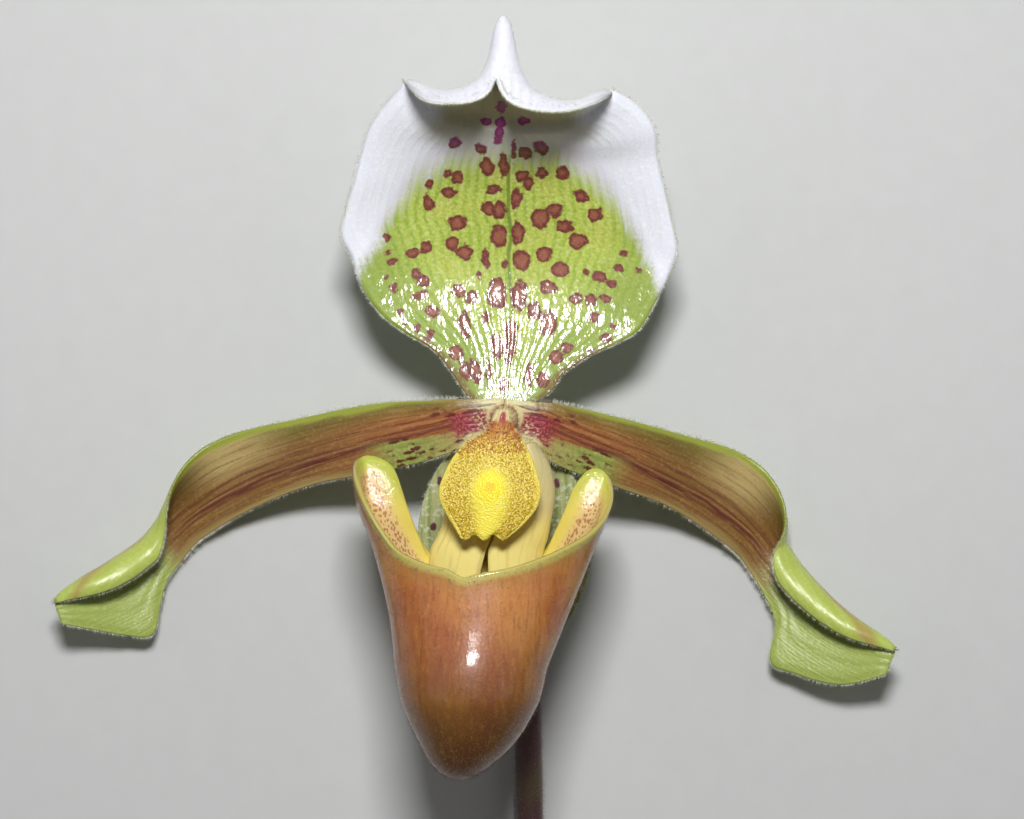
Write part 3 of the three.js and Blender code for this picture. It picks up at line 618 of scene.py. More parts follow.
# Russet flesh under fine parallel veins that run the whole length, maroon along the midrib, with
# yellow-green margins and a crimson stain at the root
def petalFrontMaterial():
    material, tree = blank("waxyPetalFront")
    here, lie, across, along, edge = coordinates(tree)
    side = add(tree, "Attribute", attribute_name="spot").outputs["Fac"]
    threads, bends, strength, blotches = [
        add(tree, "TexNoise", add(tree, "VectorMath", lie, (wide, long, 0)), 1, detail, 0.6)
        for wide, long, detail in ((3.4, 0.2, 4), (0.25, 0.07, 2), (0.9, 0.09, 2), (3.2, 2.4, 1))]
    cells, patches, clumps = [
        add(tree, "TexNoise", here, scale, detail) for scale, detail in ((2400, 3), (150, 2), (700, 2))]
    # near the flower the flesh is redder, and above the bend it turns khaki
    far = share(tree, (along, 12, 42))
    thread = paint(tree, "#73382a", ("#74502f", far))
    line = paint(tree, "#64211f", ("#6b3d2a", far))
    # veins a millimetre apart
    phase = add(tree, "Math", side, 41, add(tree, "Math", bends, 5, operation="MULTIPLY"))
    vein = share(
        tree, (add(tree, "Math", phase, operation="COSINE"), 0.35, 0.98),
        (strength, 0.36, 0.62, 0.6, 0.12), (side, 0.95, 0.45, 1, 0.25), (cells, 0.62, 0.44, 1, 0.55))
    # a double maroon line on the midrib with thinner ones beside it: shift in mm, width, strength
    bend = add(tree, "Math", bends, 1.6, across)
    stripe = 0
    for shift, width, depth in ((0.9, 0.34, 0.9), (1.6, 0.26, 0.7), (0.25, 0.24, 0.55), (2.5, 0.22, 0.5)):
        off = add(tree, "Math", bend, shift, operation="SUBTRACT")
        one = share(tree, (add(tree, "Math", off, operation="ABSOLUTE"), width, 0.06, depth))
        stripe = add(tree, "Math", stripe, one, operation="MAXIMUM")
    # yellow-green margin, from 0.3 mm wide at the root to 0.8 mm, and tan on the lower half
    inward = add(tree, "Math", patches, 1, edge)
    inward = add(tree, "Math", inward, share(tree, (along, 24, 3, 0.5)), operation="ADD")
    margin = paint(tree, "#94743c", ("#97a03e", (along, 3, 9)))
    margin = paint(tree, "#9c8450", (margin, (side, -0.1, 0.1)))
    # past the bend everything is light green, with pale specks over the cells that are painted highlights
    tipward = add(tree, "Math", threads, 5, add(tree, "Math", patches, 7, along))
    tip = paint(tree, "#a5b35c", ("#95a64f", (threads, 0.36, 0.7)), ("#bfca80", (cells, 0.52, 0.72, 0.4)))
    # the lower lobe near the root is green with long dark spots
    low = add(tree, "Math", along, -0.025, side)
    lobe = paint(tree, "#8a9446", ("#a1a75a", (cells, 0.45, 0.7)))
    lobe = paint(tree, "#a5985a", (lobe, (along, 4, 12)))
    freckles = add(tree, "TexVoronoi", add(tree, "VectorMath", lie, (1.6, 0.46, 0)), 1)
    freckle = share(tree, (add(tree, "Math", cells, 0.5, freckles), 0.72, 0.54))
    # cream at the very root and on the lower lobe beside it, and beyond it a crimson stain that
    # breaks up into grains 0.3 mm across
    below = add(tree, "Math", side, 0, operation="MINIMUM")
    rootward = add(tree, "Math", clumps, 2.4, add(tree, "Math", below, 2.8, along))
    stain = share(tree, (along, 0.9, 1.5), (along, 7, 3.8), (side, -0.72, -0.45), (side, 0.55, 0.3))
    # painted light: the pale khaki patch 25 to 41 mm out on the upper half lightens the part that faces
    # away from the light, and the pale specks over the cells are painted highlights
    flesh = paint(
        tree, "#a56838", ("#84602f", (along, 8, 26)), ("#6f6e2c", (side, 0.35, 0.95), 0.88),
        ("#c8b276", (along, 25, 34, 0.85), (along, 41, 35), (side, 0.1, 0.6)),
        (thread, (threads, 0.5, 0.68, 0.32)), ("#b08a58", (threads, 0.46, 0.34, 0.35)),
        ("#c2a26c", (cells, 0.52, 0.72, 0.22)), (line, vein),
        ("#5e2022", stripe, (along, 50, 38), (threads, 0.36, 0.5, 1, 0.5)),
        (margin, (inward, 1.5, 0.9)), (tip, (tipward, 50, 55.5)),
        (lobe, (low, -0.3, -0.48), (along, 19, 13)),
        ("#5c2c1c", freckle, (low, -0.15, -0.4), (along, 17, 13)), ("#c9c08a", (rootward, 4.2, 2.6)),
        ("#ae585a", stain, (clumps, 0.38, 0.5, 0.75), (along, 6, 4.5)),
        ("#851b34", stain, (blotches, 0.4, 0.52, 0.95)),
        ("#5a1c1c", freckle, (along, 11, 7), (side, 0, 0.3), (side, 0.85, 0.65, 0.85)))
    relief = [(threads, 0.35, 0.2), (cells, 0.45, 0.12)]
    return tissue(material, flesh, 0.45, relief, relief, coat=0.3, coatRoughness=0.22, translucent=0.05)


# The outside of a petal is light green, polished where it folds, with a tan blush along the crest
def petalBackMaterial():
    material, tree = blank("glossyPetalBack")
    here, lie, across, along = coordinates(tree)[:4]
    cells = add(tree, "TexNoise", here, 2000, 3)
    threads = add(tree, "TexNoise", add(tree, "VectorMath", lie, (1.8, 0.12, 0)), 1, 3)
    grain = add(tree, "MapRange", cells, 0.5, 0.75, 0, 0.3, interpolation_type="LINEAR")
    crest = add(tree, "Math", across, 3.4, operation="SUBTRACT")
    crest = add(tree, "Math", crest, operation="ABSOLUTE")
    blush = add(tree, "Math", add(tree, "TexNoise", here, 220, 3), 1.8, crest)
    flesh = paint(
        tree, "#a3b247", ("#bfcd6a", threads), ("#dbe59a", grain), ("#a87c50", (blush, 2.2, 1, 0.6)),
        ("#96923f", (along, 38, 20, 0.5)))
    relief = [(threads, 0.3, 0.2), (cells, 0.35, 0.1)]
    return tissue(material, flesh, 0.4, relief, relief, coat=0.5, coatRoughness=0.3, translucent=0.06)


def makePetals():
    materials = [petalFrontMaterial(), petalBackMaterial()]
    for side, petal in petals.items():
        pointAt = lambda u, v, petal=petal: petalPoint(petal, u, v)
        bm = blade(pointAt, 56, 190, (0, 0, 1), petalMarks(petal))
        keep(bm, side + "Petal", materials, "petal_" + side, petalSize["thickness"], True)

        def marginAt(i):
            t, s = (1, random.random()) if random.random() < 0.7 else (-1, random.uniform(0.6, 1))
            if random.random() < 0.02:
                t, s = random.uniform(-1, 1), 1
            elif random.random() < 0.12:
                t, s = -1, random.uniform(0.03, 0.7)
            root = petalPoint(petal, t, s)
            inner = petalPoint(petal, t * 0.95, s) if abs(t) == 1 else petalPoint(petal, t, 0.98)
            return root, (root - inner).normalized()

        hairs(side + "PetalHairs", grow(petalSize["marginHairs"], marginAt), paleHair)
    roots = []
    for petal in petals.values():
        def rootAt(i):
            t, s = random.uniform(-0.9, -0.1), random.uniform(0.02, 0.17)
            root = petalPoint(petal, t, s)
            return root, Vector((0.3 * math.copysign(1, root.x), random.uniform(-0.6, 0.9), 0.8))

        roots += grow(petalSize["rootHairs"], rootAt)
    hairs("petalBaseHairs", roots, hairMaterial("darkHair", "#3a1a1c", "#6d2a2c"))
    print("petals made")


makePetals()

lip = {
    # cross-sections by the root k of the height above the toe:
    # [k, middle x, half-width, middle z, half-depth]
    "sections": [
        [0, -4.9, 0, 14.7, 0], [0.21, -4.6, 3.1, 14.65, 3.15], [0.34, -4, 5.2, 14.4, 5.2],
        [0.48, -3.7, 7.4, 13.75, 7.45], [0.52, -3.65, 7.8, 13.25, 8.05], [0.58, -3.6, 8.35, 12.35, 8.65],
        [0.64, -3.2, 9.05, 11.45, 8.85], [0.72, -2.7, 10.15, 10.55, 8.8], [0.84, -2.2, 12.45, 9.4, 8.9],
        [0.92, -2.2, 14.5, 9.6, 9], [0.96, -2.25, 14.8, 9.9, 9.2], [1, -2.25, 14.7, 10.1, 9.3],
    ],
    # rim from the front round to the back: [share of the half turn, angle, height]
    "leftRim": [
        [0, 0, -19.5], [0.1, 18, -19.1], [0.2, 36, -18.3], [0.29, 52, -16.8], [0.36, 60, -14.4],
        [0.43, 67, -11.3], [0.49, 80, -8.6], [0.54, 98, -7], [0.59, 118, -6.7], [0.64, 133, -7.8],
        [0.69, 139, -10.5], [0.75, 141, -14], [0.81, 144, -17], [0.86, 150, -18.6], [0.93, 165, -19.2],
        [1, 180, -19.4],
    ],
    "rightRim": [
        [0, 0, -19.5], [0.1, 18, -18.8], [0.2, 36, -17.6], [0.29, 51, -16.4], [0.36, 64, -15.3],
        [0.43, 80, -13.3], [0.49, 93, -10.8], [0.54, 104, -9], [0.59, 115, -8.2], [0.64, 126, -8.5],
        [0.69, 135, -10.5], [0.75, 139, -13.8], [0.81, 142, -17], [0.86, 148, -18.6],
        [0.93, 165, -19.2], [1, 180, -19.4],
    ],
    "toe": -42.9, "earTip": -6.6, "wall": 0.9,
    # the ears open to the front: [mm along Z, angle where it is greatest, spread], and their heights
    "earShifts": [(-3.2, 98, 22), (1.65, 146, 20)], "earRise": (-18.5, -10), "earLean": (-14.5, 0.07),
    # the rim dips in a small V left of the middle, and flares a little: depth, degrees, half its width
    "dip": (0.7, -10, 6), "flare": 0.3,
    # the claw, a tube slit along its front: [v, y, middle x, half-width, angle from the back to the slit]
    "claw": [
        [0, -5.2, 0.3, 3.4, 135], [0.15, -7.9, 0, 5.3, 146], [0.35, -11.4, -0.3, 6.2, 162],
        [0.52, -14.5, -0.7, 6.1, 175], [0.63, -16.4, -1.3, 6.3, 178.5], [0.73, -18, -1.9, 6.4, 178.5],
        [1, -23, -2.4, 6.2, 172],
    ],
    "clawMiddle": 2.8, "clawDepth": 3.1, "clawWall": 0.7, "clawLength": 18,
    "halfGirth": 47, "height": 38, "down": (9000, 0.04, 0.3, 0.6, 0.3),
}


def pouchPoint(u, v):
    turn, side = abs(u), (1 if u > 0 else -1)
    rimAngle, rimHeight = through(lip["leftRim"] if u < 0 else lip["rightRim"], turn)
    depth, at, spread = lip["dip"]
    rimHeight -= depth * math.exp(-(((side * rimAngle - at) / spread) ** 2))
    degrees = lerp(180 * turn, rimAngle, ease(0.3, 1, v))
    angle = math.radians(degrees)
    y = lip["toe"] + (rimHeight - lip["toe"]) * (1 - math.cos(v * math.pi / 2))
    k = math.sqrt(max(y - lip["toe"], 0) / (lip["earTip"] - lip["toe"]))
    x, width, z, depth = through(lip["sections"], k)
    out = lip["flare"] * ease(0.955, 1, v)
    shift = sum(size * math.exp(-((degrees - at) / wide) ** 2) for size, at, wide in lip["earShifts"])
    leanFrom, leanBy = lip["earLean"]
    z += shift * ease(*lip["earRise"], y) - leanBy * max(y - leanFrom, 0) ** 1.5
    return Vector((x + side * (width + out) * math.sin(angle), y, z + (depth + out) * math.cos(angle)))


rimSteps = 600
rimPlaces = kdtree.KDTree(rimSteps + 1)
for i in range(rimSteps + 1):
    rimPlaces.insert(pouchPoint(i / (rimSteps / 2) - 1, 1), i)
rimPlaces.balance()


def pouchMarks(u, v, point):
    return (u * lip["halfGirth"], v * lip["height"], rimPlaces.find(point)[2]), 0, 0


def clawPoint(u, v):
    y, x, width, reach = through(lip["claw"], v)
    angle = math.radians(reach * u)
    return Vector((x + width * math.sin(angle), y, lip["clawMiddle"] - lip["clawDepth"] * math.cos(angle)))


# Russet skin over ochre flesh, mottled lengthwise, and waxed: the gloss shows the light whole
def lipOutsideMaterial():
    material, tree = blank("waxyLipOutside")
    here, *_, edge = coordinates(tree)
    height = add(tree, "SeparateXYZ", here).outputs[1]
    streaks = add(tree, "TexNoise", add(tree, "VectorMath", here, (1, 0.22, 1)), 1500, 4, 0.6)
    veins = add(tree, "TexNoise", add(tree, "VectorMath", here, (1, 0.08, 1)), 520, 2, distortion=0.3)
    cells = add(tree, "TexNoise", here, 2600, 3)
    clouds = add(tree, "TexNoise", here, 130, 3)
    # painted shade: each colour darkens from the mouth down to the toe, which turns away from the light
    paintedToeShade = share(tree, (height, flowerCentre.y - 0.022, flowerCentre.y - 0.04))
    flesh, redder, dark, light, speck = [
        paint(tree, mouth, (toe, paintedToeShade)) for mouth, toe in (
            ("#b8783a", "#624014"), ("#a55c30", "#583614"), ("#84421f", "#573517"),
            ("#bd8442", "#8a662e"), ("#c89450", "#7c5c2a"))]
    line = add(tree, "Math", veins, 0.5, operation="SUBTRACT")
    line = add(tree, "Math", line, operation="ABSOLUTE")
    # the rim is a pale yellow-green line, and the russet starts right below it
    rim = add(tree, "Math", clouds, 0.6, edge)
    flesh = paint(
        tree, flesh, (redder, (clouds, 0.38, 0.64)), (dark, (streaks, 0.52, 0.7, 0.5)),
        (light, (streaks, 0.46, 0.3, 0.45)), ("#6d3420", (line, 0.025, 0.005, 0.22)),
        (speck, (cells, 0.56, 0.74, 0.35)), ("#ab8440", (rim, 3.2, 1.1, 0.5)),
        ("#b8ab5a", (rim, 1.5, 0.7)))
    relief, coatRelief = [(streaks, 0.25, 0.2), (cells, 0.3, 0.1)], [(streaks, 0.2, 0.1)]
    return tissue(material, flesh, 0.45, relief, coatRelief, coat=0.7, coatRoughness=0.09,
                  translucent=0.05)


# Inside, the lip is cream and ochre with red-brown dots, and very glossy in the ears
def lipInsideMaterial():
    material, tree = blank("glossyLipInside")
    here, *_, edge = coordinates(tree)
    height = add(tree, "SeparateXYZ", here).outputs[1]
    cells = add(tree, "TexNoise", here, 2000, 3)
    clouds = add(tree, "TexNoise", here, 160, 2)
    # dots 0.25 mm across, longer lengthwise, thickest in the middle of each ear
    dots = add(tree, "TexVoronoi", add(tree, "VectorMath", here, (1, 0.6, 1)), 3000)
    wobble = add(tree, "Math", cells, 0.5, dots)
    dot = add(tree, "Math", share(tree, (edge, 0.7, 2.2, 0.64, 0.2)), wobble, operation="SUBTRACT")
    rim = paint(tree, "#e2d066", ("#b9be50", (height, flowerCentre.y - 0.014, flowerCentre.y - 0.008)))
    flesh = paint(
        tree, "#d2b070", ("#e2c892", clouds), ("#94482e", (dot, -0.14, 0.06, 0.7)),
        (rim, (edge, 2.6, 0.8)))
    pearls = add(tree, "TexNoise", here, 1900, 2)
    relief, coatRelief = [(cells, 0.4, 0.12)], [(pearls, 0.6, 0.3)]
    return tissue(material, flesh, 0.35, relief, coatRelief, coat=0.6, coatRoughness=0.12,
                  translucent=0.08)


# The side lobes are smooth pale yellow, like soft wax
def clawMaterial():
    material, tree = blank("softClaw")
    here, lie, _, along, _ = coordinates(tree)
    clouds = add(tree, "TexNoise", here, 200, 3)
    cells = add(tree, "TexNoise", here, 2200, 2)
    lines = add(tree, "TexNoise", add(tree, "VectorMath", lie, (22, 0.15, 0)), 1, 2)
    # above the pouch's mouth it fades to cream, with faint lines
    flesh = paint(
        tree, "#dfcf70", ("#ebdf90", clouds), ("#cdc08a", (along, 10.5, 7)),
        ("#b39a5c", (lines, 0.52, 0.68, 0.35)))
    return tissue(material, flesh, 0.4, [(cells, 0.2, 0.1)], coat=0.3, coatRoughness=0.25,
                  translucent=0.12)


def makeLip():
    bm = blade(pouchPoint, 200, 110, (0, -1, 0), pouchMarks, edge=0.5, edgeWidth=1.5)
    keep(bm, "pouch", [lipOutsideMaterial(), lipInsideMaterial()], "lip", lip["wall"], True)
    long = lip["clawLength"]
    marks = lambda u, v, point: ((u, v * long, (1 - abs(u)) * long), 0, 0)
    claw = blade(clawPoint, 96, 80, (0, 0, -1), marks, edgeWidth=1)
    keep(claw, "claw", [clawMaterial()], "lip", lip["clawWall"])

    def downAt(i):
        u, v = random.uniform(-1, 1), random.uniform(0.02, 1) ** 0.62
        root = pouchPoint(u, v)
        east = pouchPoint(min(u + 0.01, 1), v) - root
        north = pouchPoint(u, min(v + 0.01, 1)) - pouchPoint(u, v - 0.01)
        outward = east.cross(north).normalized()
        if outward.dot(root - Vector((-3, root.y, 9.8))) < 0:
            outward.negate()
        return (root + outward * lip["wall"] * 0.42, outward) if outward.length else None

    lipDown = hairMaterial("lipDown", "#7c4a28", "#996a3a")
    hairs("pouchDown", grow(lip["down"], downAt), lipDown)
    print("lip made")


makeLip()

# the staminode
shield = {
    # [v, y, middle x, half-width, z]
    "outline": [
        [0, -1.2, 0, 0.6, 6.6], [0.08, -2.4, -0.15, 0.9, 6.9], [0.14, -3.3, -0.2, 1.45, 7.3],
        [0.19, -4.1, -0.25, 2.1, 7.7], [0.24, -4.9, -0.8, 3.15, 8.05], [0.3, -5.8, -1.05, 3.9, 8.4],
        [0.38, -7, -1.25, 4.65, 8.8], [0.5, -8.9, -1.4, 5.45, 9.3], [0.62, -10.8, -1.5, 5.9, 9.6],
        [0.74, -12.6, -1.5, 5.4, 9.7], [0.86, -14.4, -1.7, 4.1, 9.6], [1, -16, -2.2, 2.6, 9.3],
    ],
    "crown": 1.3, "umboAt": 0.6, "umboHeight": 0.7, "umboWidth": 0.16, "grain": 0.07, "thickness": 0.7,
    "length": 14.8, "hairs": (750, 0.075, 0.4, 1, 0.3),
}


def shieldPoint(u, v):
    y, x, width, z = through(shield["outline"], v)
    lobes = -0.34 * math.cos(2.45 * math.pi * u) * v ** 10
    crown = -shield["crown"] * u * u * min(width / 5, 1)
    away = u ** 2 + (2 * (v - shield["umboAt"])) ** 2
    umbo = shield["umboHeight"] * math.exp(-(away / shield["umboWidth"]))
    raised = 0.22 * ease(0.86, 0.97, abs(u))  # the thin turned-up edge
    point = Vector((x + u * width, y + lobes, z + crown + umbo + raised))
    grains = noise.noise(point * 3.2) + 0.6 * noise.noise(point * 6)
    point.z += shield["grain"] * grains * ease(0.1, 0.5, abs(u) + 0.15) * (1 - ease(0.85, 0.95, abs(u)))
    return point


def shieldMarks(u, v, point):
    width = through(shield["outline"], v)[2]
    edge = min((1 - abs(u)) * width, (1 - v) * shield["length"])
    return (u, v, edge), u * width, point.y


# Golden yellow flesh under warty grains, whose brown tips draw a fine net
def shieldMaterial():
    material, tree = blank("grainyShield")
    here, lie, u, v, edge = coordinates(tree)
    warts = add(tree, "TexNoise", here, 5000, 1, 0.6)
    side = add(tree, "Math", u, operation="ABSOLUTE")
    # the clear band runs from the boss down to the lower edge
    clear = share(tree, (side, 0.55, 0.1), (v, 0.36, 0.62))
    netted = add(tree, "Math", 0.75, clear, operation="SUBTRACT")
    # how far a place is from the boss, and in mm from the crimson drop on the neck
    reach = add(tree, "VectorMath", lie, (0, 0.58, 0), operation="SUBTRACT")
    reach = add(tree, "VectorMath", add(tree, "VectorMath", reach, (1, 2.2, 0)), operation="LENGTH")
    drop = add(tree, "CombineXYZ", add(tree, "Attribute", attribute_name="spot").outputs["Fac"],
               add(tree, "Attribute", attribute_name="patch").outputs["Fac"])
    drop = add(tree, "VectorMath", drop, (0.1, -2.2, 0), operation="SUBTRACT")
    drop = add(tree, "VectorMath", add(tree, "VectorMath", drop, (2.2, 1, 0)), operation="LENGTH")
    # painted highlights: pale yellow specks where the wart pattern is lowest
    flesh = paint(
        tree, "#e3c63e", ("#fff052", clear), ("#94701e", (warts, 0.48, 0.6), netted, (edge, 0.25, 0.6)),
        ("#f6ec9a", (warts, 0.44, 0.36, 0.6)), ("#cf9c4c", (v, 0.3, 0.1)), ("#d8c890", (v, 0.16, 0.05)),
        ("#a02840", (drop, 0.9, 0.6, 0.9)), ("#fbe630", (reach, 0.34, 0.16)),
        ("#f3c41c", (reach, 0.12, 0.05, 0.8)), ("#ecdc62", (edge, 0.35, 0.1), (v, 0.2, 0.28)))
    relief = [(warts, 0.8, 0.2)]
    return tissue(material, flesh, 0.45, relief, relief, coat=0.4, translucent=0.1)


def makeShield():
    bm = blade(shieldPoint, 90, 110, (0, 0, 1), shieldMarks, edge=0.5, edgeWidth=0.8)
    keep(bm, "shield", [shieldMaterial()], "staminode", shield["thickness"])

    def rootAt(i):
        u, v = random.uniform(-0.95, 0.95), random.uniform(0.1, 0.34)
        return shieldPoint(u, v) + Vector((0, 0, 0.3)), Vector((u * 0.9, 0.9, 0.7))

    orangeHair = hairMaterial("orangeHair", "#b0402a", "#dd8a3c")
    hairs("shieldHairs", grow(shield["hairs"], rootAt), orangeHair)
    print("staminode made")


makeShield()

column = {
    "axis": [(0.2, -2.2, -2.3), (0.2, -2.2, 1.2), (-0.2, -2.7, 5.6)],
    "sizes": [[0, 1.6], [0.4, 1.6], [0.75, 1.5], [1, 1.1]],
    "stigma": (-0.1, -6.9, 2.6), "stigmaSize": (1.5, 1.7, 0.7), "stigmaTurn": 0.5,
    "stalkFrom": Vector((0, -2.8, 2.6)), "stalkRadius": 0.7,
    "hairs": (320, 0.06, 0.5, 1, 0.3),
    "antherSize": (0.9, 0.85, 0.85), "anthers": [(1.05, -4.1, 4.3), (-1.45, -4.1, 4.3)],
}


# Cream flesh with crimson flushes, slightly uneven
def columnMaterial():
    material, tree = blank("creamColumn")
    clouds = add(tree, "TexNoise", add(tree, "TexCoord").outputs["Object"], 500, 3)
    flesh = paint(tree, "#d6cf8c", ("#e8dfae", clouds), ("#b34a4a", (clouds, 0.56, 0.66, 0.8)))
    return tissue(material, flesh, 0.45, [(clouds, 0.4, 0.2)], coat=0.2, translucent=0.12)


def egg(sizes, at, turn=0):
    bm = bmesh.new()
    stand = Matrix.LocRotScale(place(at), Matrix.Rotation(turn, 3, "X"), Vector(sizes) * 0.001)
    bmesh.ops.create_uvsphere(bm, u_segments=24, v_segments=16, radius=1, matrix=stand)
    return bm


def makeColumn():
    cream = columnMaterial()
    axis = curve(column["axis"])
    stalkEnd = Vector(column["stigma"])
    stalkAt = lambda t: column["stalkFrom"].lerp(stalkEnd, t)
    parts = {
        "columnPost": tube(axis, lambda t, angle: through(column["sizes"], t)[0], 40, 40),
        "stigmaStalk": tube(stalkAt, lambda t, angle: column["stalkRadius"], 20, 8),
        "stigma": egg(column["stigmaSize"], column["stigma"], column["stigmaTurn"]),
    }
    for i, at in enumerate(column["anthers"]):
        parts[f"anther{i + 1}"] = egg(column["antherSize"], at)
    for name, bm in parts.items():
        keep(bm, name, [cream], "column")

    def rootAt(i):
        t, angle = random.uniform(0.45, 1), random.uniform(-math.pi, math.pi)
        around = Vector((math.sin(angle), math.cos(angle), 0))
        root = axis(t) + around * through(column["sizes"], t)[0] * 0.95
        return root, around + Vector((0, 0.2, 0.5))

    crimsonHair = hairMaterial("crimsonHair", "#8e2a35", "#c56a4a")
    hairs("columnHairs", grow(column["hairs"], rootAt), crimsonHair)
    print("column made")


makeColumn()

# the two lower sepals, grown together
lowerSepal = {
    # [v, y, middle x, half-width, z]
    "outline": [
        [0, -2.4, 0.2, 2.6, -3.2], [0.1, -5.2, 0.1, 5.2, -3.7], [0.2, -8.4, 0, 8, -5.1],
        [0.35, -13.4, 0.1, 10.1, -5.9], [0.5, -18.5, 0.2, 10.5, -6.3], [0.62, -22.5, 0.2, 9.9, -7],
        [0.75, -27, 0, 8, -7.9], [0.87, -32, -0.2, 5, -8.8], [0.95, -35.6, -0.3, 2.4, -9.2],
        [1, -37.5, -0.3, 0.7, -9.3],
    ],
    "cup": 1.6, "ribs": 6, "ribHeight": 0.08, "thickness": 0.7, "length": 35,
    "hairs": (1500, 0.045, 0.3, 0.55, 0.3),
    # purple spots on the inner face: (x, y, width, length)
    "spots": [
        (-8.6, -15.4, 0.8, 1), (-7.8, -9.8, 0.7, 1.1), (6.6, -10.1, 0.8, 1.3), (-5.6, -12.6, 0.9, 1.2),
        (-2.4, -9, 0.8, 1.2), (2.2, -9.2, 0.8, 1.1), (8.3, -14.6, 0.8, 1), (4.6, -13.4, 0.9, 1.3),
        (-0.2, -13.2, 0.8, 1.4), (-6.4, -18.8, 0.8, 1.2), (-2.8, -17.4, 0.9, 1.3), (2.6, -18, 0.9, 1.2),
        (6.8, -19.2, 0.8, 1.1), (-4.4, -23, 0.7, 1.1), (0.4, -22.4, 0.8, 1.2), (4.4, -23.6, 0.7, 1),
        (-1.8, -27.6, 0.6, 1), (2, -28.4, 0.6, 0.9),
    ],
}


def lowerSepalPoint(u, v):
    y, x, width, z = through(lowerSepal["outline"], v)
    cup = lowerSepal["cup"] * u * u * min(width / 10, 3 * v)
    wave = math.cos(lowerSepal["ribs"] * math.pi * u)
    ribs = lowerSepal["ribHeight"] * wave * (1 - abs(u)) * min(4 * v, 1)
    return Vector((x + u * width, y, z + cup + ribs))


def lowerSepalMarks(u, v, point):
    width = through(lowerSepal["outline"], v)[2]
    depth = spotDepth(point.x, point.y, lowerSepal["spots"], lambda x, y: 0)
    long = lowerSepal["length"]
    return (u * width, v * long, min((1 - abs(u)) * width, (1 - v) * long)), depth, 0


# Pale green flesh with soft veins; rows of purple spots mark the inner face
def lowerSepalMaterial(name, spotted):
    material, tree = blank(name)
    here, lie = coordinates(tree)[:2]
    threads = add(tree, "TexNoise", add(tree, "VectorMath", lie, (1.6, 0.12, 0)), 1, 3)
    cells = add(tree, "TexNoise", here, 1800, 2)
    flesh = paint(
        tree, "#a6a974", ("#828d50", (threads, 0.42, 0.68)), ("#c4cbb2", (cells, 0.5, 0.66, 0.75)))
    if spotted:
        spot = add(tree, "Attribute", attribute_name="spot").outputs["Fac"]
        flesh = paint(tree, flesh, ("#5c2c38", (add(tree, "Math", cells, 0.5, spot), 0.15, 0.35)))
    return tissue(material, flesh, 0.5, [(cells, 0.4, 0.1), (threads, 0.4, 0.3)], coat=0.15,
                  sheen=0.2, translucent=0.08)


def makeLowerSepal():
    bm = blade(lowerSepalPoint, 70, 110, (0, 0, 1), lowerSepalMarks)
    inner = lowerSepalMaterial("spottedLowerSepal", True)
    materials = [inner, lowerSepalMaterial("plainLowerSepal", False)]
    keep(bm, "lowerSepal", materials, "synsepal", lowerSepal["thickness"], True)

    def rootAt(i):
        u, v = random.uniform(-1, 1), random.random()
        if i % 3 == 0:
            u = random.choice((-1, 1))
        return lowerSepalPoint(u, v), Vector((u, 0, 0.2) if abs(u) == 1 else (0, 0, 0.9))

    hairs("lowerSepalHairs", grow(lowerSepal["hairs"], rootAt), paleHair)
    print("lower sepals made")


makeLowerSepal()

# ovary, bract and stem
stalks = {
    # the ovary's curve, from the stem's joint up to the flower
    "ovary": [(2.9, -30, -13.85), (2, -17, -13.8), (0.2, -2, -13), (0.2, -1.6, -4.3)],
    "ovarySizes": [[0, 1.7], [0.25, 1.85], [0.6, 2.1], [0.88, 2.2], [1, 2.8]],
    "ribs": 3, "ribHeight": 0.14, "stemMiddle": (3.4, -58, -14.5), "stemRadius": 1.65, "stemTaper": 0.06,
    "gap": 0.3, "cutRim": 0.22, "cutDepth": 0.08,
    # bract: [v, y, radius, half its wrap in degrees, keel z]
    "sheath": [
        [0, -32.4, 2.5, 138, -16.3], [0.12, -29, 2.6, 128, -16.3], [0.35, -23, 3.1, 104, -16.3],
        [0.6, -16, 3.4, 84, -16.3], [0.8, -10.5, 2.8, 66, -16.3], [0.93, -6.9, 2.1, 44, -16.2],
        [1, -5, 1.6, 20, -16],
    ],
    "bractThickness": 0.6, "bractSize": (6, 27),
    "hairWidth": 0.05, "ovaryHairs": (1500, 0.3, 0.55), "stemHairs": (4200, 0.3, 0.6),
    "surface": -16.5,  # no hair ends below this height
}


def ovaryPath(t):
    a, b, c, d = [Vector(point) for point in stalks["ovary"]]
    s = 1 - t
    return a * s ** 3 + b * 3 * s * s * t + c * 3 * s * t * t + d * t ** 3


def ovaryRadius(t, angle):
    ribs = stalks["ribHeight"] * math.cos(stalks["ribs"] * angle) * math.sin(math.pi * t)
    return through(stalks["ovarySizes"], t)[0] * (1 + ribs)


def stemRadius(t, angle):
    swell = 0.03 * noise.noise(Vector((math.cos(angle), math.sin(angle), t * 9)))
    return stalks["stemRadius"] * (1 + stalks["stemTaper"] * (1 - t) + swell)


def sheathPoint(u, v):
    y, radius, wrap, keel = through(stalks["sheath"], v)
    angle = math.radians(wrap * u)
    x = lerp(ovaryPath(0).x, 1.8, v)
    return Vector((x + radius * math.sin(angle), y, keel + radius * (1 - math.cos(angle))))


# A hairy green stalk flushed dark purple, dull because the hairs scatter the light
def stalkMaterial(name, dark, light, greener):
    material, tree = blank(name)
    here = add(tree, "TexCoord").outputs["Object"]
    streaks = add(tree, "TexNoise", add(tree, "VectorMath", here, (1, 0.12, 1)), 1500, 3)
    clouds = add(tree, "TexNoise", here, 120, 2)
    flesh = paint(tree, dark, (light, streaks), (greener, (clouds, 0.5, 0.72, 0.7)))
    return tissue(material, flesh, 0.6, [(streaks, 0.5, 0.2)], sheen=0.4)


